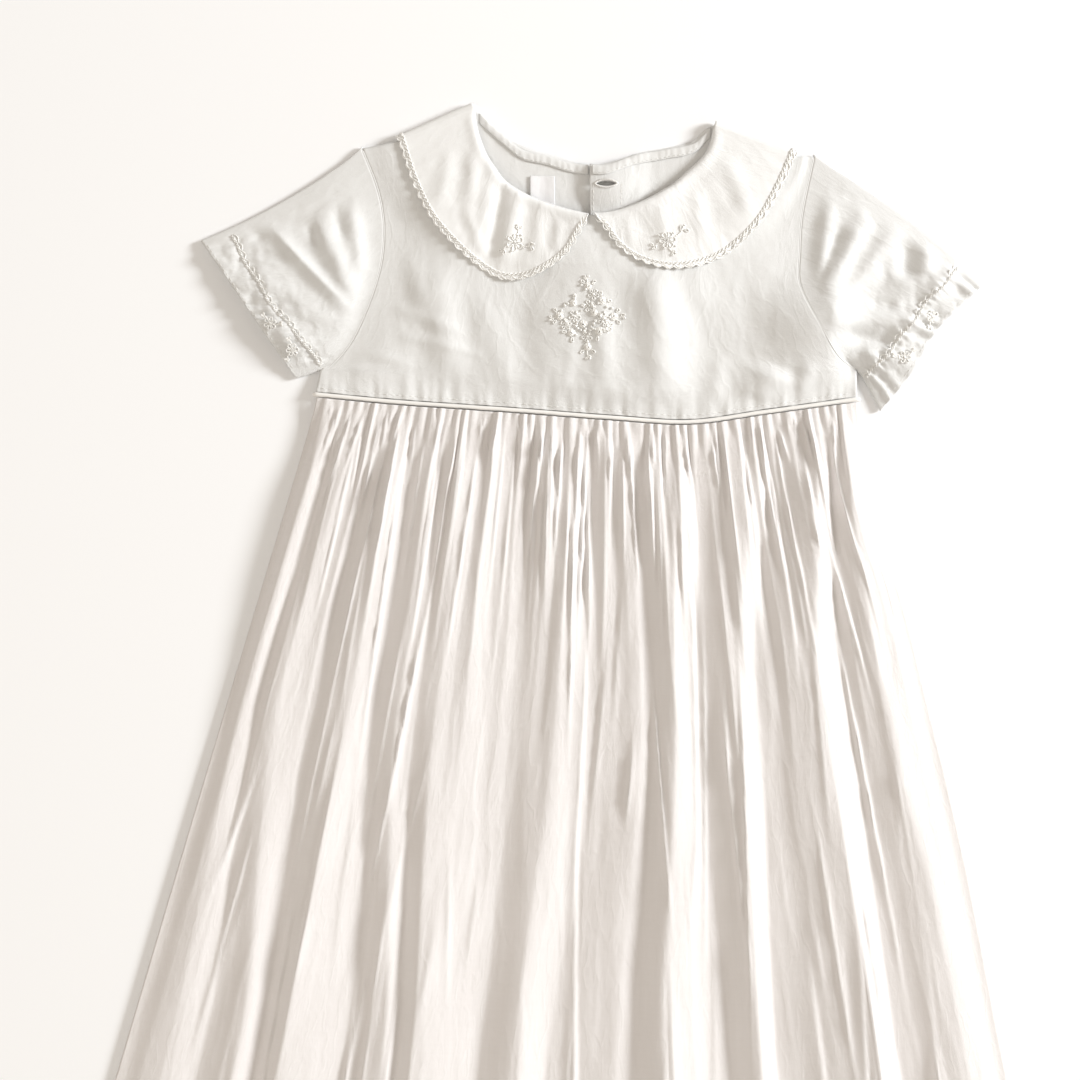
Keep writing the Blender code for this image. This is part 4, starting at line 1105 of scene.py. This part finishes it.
def add_sleeve_trim(node, top_point, length):
    """Braid above the hem, the hem's stitches and two flowers of one sleeve."""
    across = np.linspace(0.03, 0.97, 260)

    def on_top(distance, across, off):
        across = np.asarray(across, float)
        return top_point(1 - distance / length(across), across) + (0, 0, off)

    path = on_top(TRIM_INSET + 0.6 * np.sin(across * 23), across, 0.3)
    under = on_top(TRIM_INSET, across, 0.0) * (1, 1, 0) + (0, 0, BACK_LIFT + 0.05)
    loop_side = -1 if node == "sleeve_left" else 1
    strands = braid(path, loop_side=loop_side, width=0.45, loop=1.3, loop_pitch=4.6)
    strands += braid(under, loop_side=loop_side, width=0.45, loop=1.3, loop_pitch=4.6)
    thread_mesh(node + "_braid", strands, 0.26)
    flowers = []
    for distance, share in SLEEVE_FLOWERS[node]:
        x, y, z = on_top(distance, share, 0.15)
        near_x, near_y, near_z = on_top(distance, share + 0.03, 0.15)
        out_x, out_y, out_z = on_top(distance + 3, share, 0.15)
        tilt = np.linalg.solve([[near_x - x, near_y - y], [out_x - x, out_y - y]], [near_z - z, out_z - z])

        def height(px, py, x=x, y=y, z=z, tilt=tilt):
            return z + (px - x) * tilt[0] + (py - y) * tilt[1]

        flowers += daisy(x, y, 2.5, 6, share * 9, height)
        for lean in (share * 9 + 0.5, share * 9 + 2.8):
            flowers += spray(*beyond(x, y, 2.5, lean), lean, 3.4, height)
    thread_mesh(node + "_flowers", flowers, 0.32)
    stitches = running(on_top(1.6, across, 0.02), 2.2, 0.6)
    thread_mesh(node + "_hem_stitches", stitches, STITCH, sides=4)


# Radius of the sewing thread
STITCH = 0.13


def running(path, stitch, gap):
    """Running stitches along a line."""
    path, run = even(np.asarray(path), 0.35)
    stitches = []
    start = 0.0
    while start + stitch < run[-1]:
        line = read_line(np.linspace(start, start + stitch, 4), run, path)
        line[1:-1, 2] += 0.08
        stitches.append(line)
        start += stitch + gap
    return stitches


# Wreath at the centre front: small roses, then daisies, as x and y from its middle, and size
WREATH_MIDDLE = (-1.4, 45.1)
WREATH_SCALE = 0.93
# Knots strewn over its diamond: how many, the turn between two, the diamond's half width and height
WREATH_KNOTS = 56
GOLDEN_TURN = 2.399963
WREATH_WIDE = 14.5
WREATH_HIGH = 17.3
WREATH_ROSES = ((0.5, 16.0, 1.9), (7.6, 8.6, 2.1), (13.6, 0.4, 2.0), (6.0, -7.4, 2.1), (0.2, -15.4, 1.9),
                (-8.2, -8, 1.9), (-14.2, 0.6, 2.1), (-7, 7.4, 1.8), (-2.2, -3.6, 2), (3.4, 2.4, 1.7))
WREATH_DAISIES = ((-6.4, 0.6, 2.6), (0.8, 5.8, 2.5), (8.2, -0.8, 2.5), (10.6, -4.6, 2.2), (-0.2, -10.0, 2.3),
                  (3.2, 11.8, 2.3), (-11, -3.6, 2.2))


def make_wreath():
    """The embroidered wreath of the bodice front."""
    draw = np.random.default_rng(11)
    middle_x, middle_y = WREATH_MIDDLE
    roses, flowers = [], []
    for x, y, size in np.array(WREATH_ROSES) * WREATH_SCALE:
        roses.append(rose(middle_x + x, middle_y + y, size, bodice_top, draw.uniform(0, 6)))
        outward = math.atan2(y, x)
        for turn in (-0.9, 0.9):
            lean = outward + turn
            flowers.append(leaf(*beyond(middle_x + x, middle_y + y, size, lean), 2.6, lean, bodice_top))
    for x, y, size in np.array(WREATH_DAISIES) * WREATH_SCALE:
        flowers += daisy(middle_x + x, middle_y + y, size, 5, draw.uniform(0, 6), bodice_top)
    for number in range(WREATH_KNOTS):
        angle = number * GOLDEN_TURN
        share = draw.uniform(0.35, 1.15)
        reach = 1 / (abs(math.cos(angle)) / WREATH_WIDE + abs(math.sin(angle)) / WREATH_HIGH) * share
        roses.append(knot(*beyond(middle_x, middle_y, reach, angle), bodice_top, draw.uniform(0.25, 0.42)))
    for angle in (0.0, 0.5 * np.pi, np.pi, 1.5 * np.pi):
        reach = 13.8 if abs(math.cos(angle)) > 0.5 else 15.8
        flowers += spray(*beyond(middle_x, middle_y, reach, angle), angle - 0.2, 4.2, bodice_top)
    thread_mesh("front_wreath_roses", roses, 0.42)
    thread_mesh("front_wreath_flowers", flowers, 0.3)


def sewn(x, y, height, off, stitch, gap):
    """Running stitches along a plan line on a surface."""
    return running(np.column_stack([x, y, height(x, y) + off]), stitch, gap)


def make_sewing():
    """Stitches of the yoke seam, neck binding, placket, buttonholes and skirt hem."""
    x = np.linspace(SIDE_LEFT[0] + 2, SIDE_RIGHT[0] - 2, 300)
    y = waist_y(x) + CORD / 2 + 2.2
    thread_mesh("yoke_stitches", sewn(x, y, bodice_top, 0.05, 2.4, 0.7), STITCH, sides=4)
    ridges = []
    for edge, side in ((edge_left, -1), (edge_right, 1)):
        hollow = edge(np.linspace(UNDERARM_SHARE + 0.01, 0.995, 160)) + (side * SEAM * 0.6, 0.0)
        ridges.append(np.column_stack([hollow, bodice_top(hollow[:, 0] - side * 0.4, hollow[:, 1]) - 0.28]))
    tube_mesh("armhole_seams", ridges, 0.42, lawn, sides=8)
    lines = []
    for reach, height in ((BINDING_LEFT, back_low), (BINDING_RIGHT, back_right_low)):
        x = np.linspace(reach[0] + 1, reach[1] - 1, 80)
        y = back_neck_y(x) - BINDING_DEPTH + 0.9
        lines += sewn(x, y, height, WALL + BINDING_REST + 0.72, 1.7, 0.5)
    y = np.linspace(10.0, 112.0, 200)
    for x_line in (LAP_EDGE + 1.6, LAP_UNDER_EDGE - 5.0):
        lines += sewn(np.full_like(y, x_line), y, back_right_low, WALL + 0.03, 2.2, 0.6)
    thread_mesh("back_stitches", lines, STITCH, sides=4)
    lines = []
    for _, hole_y, gape in BUTTON_ROWS:
        for angle in np.linspace(0, 2 * np.pi, 64, endpoint=False):
            share = np.linspace(0, 1, 5)[:, None]
            unit = np.array([math.cos(angle), lens(math.sin(angle))])
            inner = unit * (BUTTONHOLE_LENGTH / 2 + 0.1, gape / 2 + 0.1)
            outer = unit * (BUTTONHOLE_LENGTH / 2 + 1.1, gape / 2 + 1.3)
            flat = mix(inner, outer, share) + (CENTRE_BACK, hole_y)
            line = laid(flat, back_right_low, WALL + 0.08)
            line[1:-1, 2] += 0.18
            lines.append(line)
    thread_mesh("buttonhole_stitches", lines, 0.22, sides=5)
    across = np.linspace(0.01, 0.99, 900)
    depth = np.full_like(across, SKIRT_LENGTH - HEM_TURNING)
    x, y = skirt_point(across, depth / SKIRT_LENGTH)
    lines = running(np.column_stack([x, y, skirt_low(across, depth) + WALL * 1.05]), 3.0, 1.0)
    thread_mesh("skirt_hem_stitches", lines, 0.16, 4)


def collar_section(front_rows, back_rows):
    """Functions for the flat front, the loop and the back of one collar half."""
    neck, edge, outward = fold_line(front_rows)
    flat = (*neck, *edge)
    return course([*front_rows[:-1], flat]), course([flat, *back_rows[1:]]), np.array(flat), outward


SCALLOP = 5.2
SCALLOP_DEEP = 1.1
SCALLOP_RAMP = 3.0
EDGE_WAVE = 6.1
NECK_ROLL = 2.2
FRONT_COLUMNS, LOOP_COLUMNS, BACK_COLUMNS, COLLAR_BANDS = 340, 20, 110, 36


def lobe_point(lobe, along, across):
    """Plan point of a lobe at shares along and across it."""
    section = lobe(along)
    return mix(section[..., 0], section[..., 2], across), mix(section[..., 1], section[..., 3], across)


def make_collar(side, front_rows, back_rows):
    """One collar half: its front lobe, the fold over the shoulder and its back lobe."""
    front, back, flat, outward = collar_section(front_rows, back_rows)
    band = np.linspace(0, 1, COLLAR_BANDS)[:, None]
    along = np.linspace(0, 1, FRONT_COLUMNS, endpoint=False)[None, :]
    x, y = lobe_point(front, along, band)
    run = run_along(front(along[0])[:, 2:])
    out = front(along)[..., 2:] - front(along)[..., :2]
    width = np.linalg.norm(out, axis=-1)
    scallop = -SCALLOP_DEEP * np.abs(np.cos(np.pi * run / SCALLOP)) ** 3
    reach = scallop[None] * ease((band - 1) * width / SCALLOP_RAMP + 1)
    out = out / np.maximum(width, 1e-6)[..., None]
    x, y = x + out[..., 0] * reach, y + out[..., 1] * reach
    from_neck = band * width
    roll = 1 - np.sqrt(np.clip(1 - np.clip((NECK_ROLL - from_neck) / NECK_ROLL, 0, 1) ** 2, 0, 1))
    z = collar_top(x, y)
    uneven = 0.6 + 0.4 * np.sin(run[None] / 9.0)
    edge_fade = np.exp(-(1 - band) * width / 3.6) * ease(band * 4)
    z = z + 0.26 * uneven * np.sin(2 * np.pi * run[None] / EDGE_WAVE) * edge_fade
    before_fold = ease((1 - along) * 12)
    z = z + 0.5 * np.exp(-((from_neck - 3.0) / 2.5) ** 2) * before_fold - 1.7 * roll * before_fold
    sheet = [np.stack([x, y, z], axis=-1)]
    turn = np.pi * (0.5 - np.linspace(0, 1, LOOP_COLUMNS + 1))[None, :]
    x, y = mix(flat[0], flat[2], band), mix(flat[1], flat[3], band)
    sheet.append(np.stack([x + outward[0] * FOLD_OUTER * np.cos(turn),
                           y + outward[1] * FOLD_OUTER * np.cos(turn),
                           FOLD_OUTER + FOLD_OUTER * np.sin(turn) + 0 * band], axis=-1))
    along = np.linspace(0, 1, BACK_COLUMNS + 1)[None, 1:]
    x, y = lobe_point(back, along, band)
    sheet.append(np.stack([x, y, BACK_LIFT * ease(along * 8) + 0 * x], axis=-1))
    points = np.concatenate(sheet, axis=1)
    node = "collar_left" if side < 0 else "collar_right"
    piece = sheet_piece(node + "_cloth", points, (230, 34), collar_cotton, node, thick=0.7)
    edge = points[-1].copy()
    edge[FRONT_COLUMNS + LOOP_COLUMNS:, 2] += 0.2
    edge[:FRONT_COLUMNS, 2] -= 0.15
    add_collar_trim(node, front, back, flat, outward, edge)


def make_sleeve(side, edge, table, folds, creases):
    """One sleeve: a flattened tube from the armhole to its hem."""
    plan = smooth_rows(table)
    rings, front_steps, back_steps, turn_steps = 84, 140, 60, 8
    node = "sleeve_left" if side < 0 else "sleeve_right"

    def plan_point(along, across):
        ends = plan(across)
        start = edge(UNDERARM_SHARE + (1 - UNDERARM_SHARE) * (1 - across))
        start_x, start_y = start[..., 0] + side * SEAM, start[..., 1]
        bow = 4 * along * (1 - along)
        return (mix(start_x, ends[..., 0], along) + bow * (ends[..., 2] - (start_x + ends[..., 0]) / 2),
                mix(start_y, ends[..., 1], along) + bow * (ends[..., 3] - (start_y + ends[..., 1]) / 2))

    def length(across):
        start, end = plan_point(0 * across, across), plan_point(0 * across + 1, across)
        return np.hypot(end[0] - start[0], end[1] - start[1])

    def down(along):
        first, last = plan_point(along, 0 * along), plan_point(along, 0 * along + 1)
        x, y = last[0] - first[0], last[1] - first[1]
        return x / np.hypot(x, y), y / np.hypot(x, y)

    def lift(along, across):
        x, y = plan_point(along, across)
        rise = sum(ridge(x, y, *row) for row in (*folds, *creases)) + 0.22 * crumple(x, y, 24, 9.0, 26.0)
        sides = ease(across / 0.1) * ease((1 - across) / 0.1)
        to_hem = (1 - along) * length(across)
        rise = rise + 0.26 * crumple(x, y, 25, 4.5, 12.0) * ease((34 - to_hem) / 18)
        uneven = 0.55 + 0.45 * np.sin(14 * across + 0.8)
        ripple = np.sin(50 * across + 2.2 * np.sin(13 * across)) * uneven * ease((22 - to_hem) / 14)
        ripple = ripple * HEM_RIPPLES[node]
        pucker = 0.3 * np.sin(150 * across) * np.exp(-((to_hem - TRIM_INSET) / 3) ** 2)
        turned_hem = 0.4 * ease((TRIM_INSET - 1 - to_hem) / 1.2)
        return (3.0 * np.sin(np.pi * np.clip(across, 0, 1)) ** 0.8 * ease(along / 0.3)
                + sides * (rise * ease(along / 0.18) + ripple + pucker + turned_hem + arm_rise(x, y)))

    def tucked(along, across, z):
        """A point of the tube, drawn in a little so that its folds stay inside the outline."""
        x, y = plan_point(along, across)
        down_x, down_y = down(along)
        pull = 2.3 * ease(along / 0.1) * (0.5 - across)
        x = x + down_x * pull
        return np.stack(np.broadcast_arrays(x, y + down_y * pull, z), axis=-1)

    def top_point(along, across):
        return tucked(along, across, LAYER + WALL + np.maximum(lift(along, across), SLEEVE_DIP))

    def turn(at, direction):
        angle = np.pi * (0.5 - np.linspace(0, 1, turn_steps + 2)[None, 1:-1]) * direction
        down_x, down_y = down(along)
        half = (LAYER + WALL) / 2
        edge_line = tucked(along, at + 0 * along, 0 * along)
        out = half * np.cos(angle) * (-1 if at == 0 else 1)
        return np.stack([edge_line[..., 0] + down_x * out, edge_line[..., 1] + down_y * out,
                         half + half * np.sin(angle) + 0 * down_x], axis=-1)

    along = np.linspace(0, 1, rings)[:, None]
    front = top_point(along, np.linspace(0, 1, front_steps)[None, :])
    back = tucked(along, np.linspace(1, 0, back_steps)[None, :], BACK_LIFT)
    points = np.concatenate([front, turn(1.0, 1), back, turn(0.0, -1), front[:, :1]], axis=1)
    piece = sheet_piece(node + "_cloth", points, (250, 80), lawn, node, closed=True)
    add_sleeve_trim(node, top_point, length)


def make_skirt():
    """The gathered front of the skirt on its flat back."""
    across = np.linspace(0, 1, 431)[None, :]
    depth = (np.linspace(0, 1, 112) ** 1.5 * SKIRT_LENGTH)[:, None]
    x, y = skirt_point(across, depth / SKIRT_LENGTH)
    low = np.stack([x, y, skirt_low(across, depth)], axis=-1)
    piece = sheet_piece("skirt_front_cloth", raised(low), (650, 640), skirt_lawn, "skirt_front")
    across, down = np.linspace(0, 1, 120)[None, :], np.linspace(0, 1, 100)[:, None]
    x, y = skirt_point(across, down)
    flat = np.stack([x, y, np.zeros_like(x)], axis=-1)
    piece = sheet_piece("skirt_back_cloth", flat, (560, 640), skirt_lawn, "skirt_back",
                        thick=WALL, upward=True)


def tube_mesh(name, paths, radius, material, sides=8):
    """Round threads or cords along paths, joined into one mesh."""
    verts, faces, base = [], [], 0
    for path in paths:
        path = np.array(path, float)
        path[:, 2] = np.maximum(path[:, 2], radius)
        count = len(path)
        _, beside, up = frames(path)
        angle = np.linspace(0, 2 * np.pi, sides, endpoint=False)
        taper = np.ones(count)
        taper[0] = taper[-1] = 0.35
        spokes = np.cos(angle)[None, :, None] * beside[:, None] + np.sin(angle)[None, :, None] * up[:, None]
        ring = path[:, None] + (radius * taper)[:, None, None] * spokes
        verts.append(ring.reshape(-1, 3))
        for i in range(count - 1):
            a, b = base + i * sides, base + (i + 1) * sides
            faces += [(a + j, a + (j + 1) % sides, b + (j + 1) % sides, b + j) for j in range(sides)]
        faces.append(tuple(base + j for j in range(sides))[::-1])
        faces.append(tuple(base + (count - 1) * sides + j for j in range(sides)))
        base += count * sides
    mesh = bpy.data.meshes.new(name)
    mesh.from_pydata(in_world(np.concatenate(verts)).tolist(), [], faces)
    mesh.shade_smooth()
    mesh.materials.append(material)
    piece = bpy.data.objects.new(name, mesh)
    bpy.context.scene.collection.objects.link(piece)
    return keep(piece)


def thread_mesh(name, paths, radius, sides=6):
    """Embroidery or sewing thread on one kind of cloth."""
    return tube_mesh(name, paths, radius, silk, sides)


def make_piping():
    """The covered cord in the waist seam, once round."""
    left_x, right_x = SIDE_LEFT[0] + 0.4, SIDE_RIGHT[0] - 0.4
    middle_z, bow = (CORD_FRONT_Z + CORD_BACK_Z) / 2, (CORD_FRONT_Z - CORD_BACK_Z) / 2

    def run(x0, x1, z, count):
        x = np.linspace(x0, x1, count)
        return np.column_stack([x, waist_y(x), np.full(count, z)])

    def turn(x, way, count=12):
        angle = np.pi * (np.linspace(0, 1, count) - 0.5) * way
        return np.column_stack([np.full(count, x) + (-bow if x < 0 else bow) * np.cos(angle),
                                np.full(count, float(waist_y(x))), middle_z + bow * np.sin(angle)])

    path = np.concatenate([run(CENTRE_BACK - 0.6, left_x + 1, CORD_BACK_Z, 70), turn(left_x, 1),
                           run(left_x + 1, right_x - 1, CORD_FRONT_Z, 260), turn(right_x, -1),
                           run(right_x - 1, CENTRE_BACK + 0.6, CORD_BACK_Z, 70)])
    piece = tube_mesh("waist_piping_cord", [path], CORD / 2, piping_cotton, sides=16)
    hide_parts("waist_piping")


make_bodice_front()
make_backs()
make_bindings()
make_label()
make_collar(-1, COLLAR_LEFT_FRONT, COLLAR_LEFT_BACK)
make_collar(1, COLLAR_RIGHT_FRONT, COLLAR_RIGHT_BACK)
make_sleeve(-1, edge_left, SLEEVE_LEFT, SLEEVE_LEFT_FOLDS, SLEEVE_LEFT_CREASES)
make_sleeve(1, edge_right, SLEEVE_RIGHT, SLEEVE_RIGHT_FOLDS, SLEEVE_RIGHT_CREASES)
make_skirt()
make_piping()
make_wreath()
make_sewing()
for name in ("button_top", "button_middle", "button_bottom"):
    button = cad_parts[name]
    button.data.materials.clear()
    button.data.materials.append(shell)

# Floor, light and camera
FLOOR_DROP = 0.0004
FLOOR_DARK, FLOOR_LIGHT = (0.95, 0.96, 0.982), (0.965, 0.975, 0.992)
# Lamps, all aimed at the gown's middle: name, place in metres, width, power, colour
LAMPS = (("window_key", (2.4, 0.9, 1.08), 0.75, 84.0, (0.965, 0.985, 1.0)),
         ("soft_fill", (-1.3, -0.6, 2.0), 2.4, 13.5, (1.0, 0.94, 0.86)))
ROOM_COLOUR = (1.0, 0.91, 0.80, 1)
ROOM_STRENGTH = 0.5

bpy.ops.mesh.primitive_plane_add(size=8.0, location=(0, 0, -FLOOR_DROP))
floor = bpy.context.object
floor.name = "floor"
ground = Weave("pale_floor")
paper = ground.node("ShaderNodeTexNoise", Scale=6.0, Detail=3.0)
tone = blend_colour(ground, ground.out(paper, "Fac"), FLOOR_DARK, FLOOR_LIGHT)
matte = ground.node("ShaderNodeBsdfPrincipled", Base_Color=tone, Roughness=0.9)
floor.data.materials.append(ground.covered(matte))

for name, place, width, power, colour in LAMPS:
    lamp = bpy.data.lights.new(name, "AREA")
    lamp.shape = "DISK"
    lamp.size = width
    lamp.energy = power
    lamp.color = colour
    light = bpy.data.objects.new(name, lamp)
    light.location = place
    light.rotation_euler = (-Vector(place)).to_track_quat("-Z", "Y").to_euler()
    bpy.context.scene.collection.objects.link(light)
world = bpy.data.worlds.new("studio")
bpy.context.scene.world = world
world.use_nodes = True
room_light = world.node_tree.nodes["Background"]
room_light.inputs[0].default_value = ROOM_COLOUR
room_light.inputs[1].default_value = ROOM_STRENGTH

# The picture's frame: 1080 pixels of 0.48 mm, seen from straight above; the gown's zero is at 590, 412
PIXEL = 0.48
FRAME_PIXELS = 1080
ORIGIN_X, ORIGIN_Y = 590, 412
CAMERA_HEIGHT = 1200.0
CLOTH_HEIGHT = 4.0
middle = FRAME_PIXELS / 2
optics = bpy.data.cameras.new("camera")
optics.sensor_width = 36.0
optics.lens = optics.sensor_width * (CAMERA_HEIGHT - CLOTH_HEIGHT) / (FRAME_PIXELS * PIXEL)
camera = bpy.data.objects.new("camera", optics)
camera.location = in_world(((middle - ORIGIN_X) * PIXEL, (ORIGIN_Y - middle) * PIXEL, CAMERA_HEIGHT))
camera.rotation_euler = (0, 0, 0)
bpy.context.scene.collection.objects.link(camera)
bpy.context.scene.camera = camera
bpy.context.scene.view_settings.view_transform = "Standard"
bpy.context.scene.view_settings.exposure = 0.0
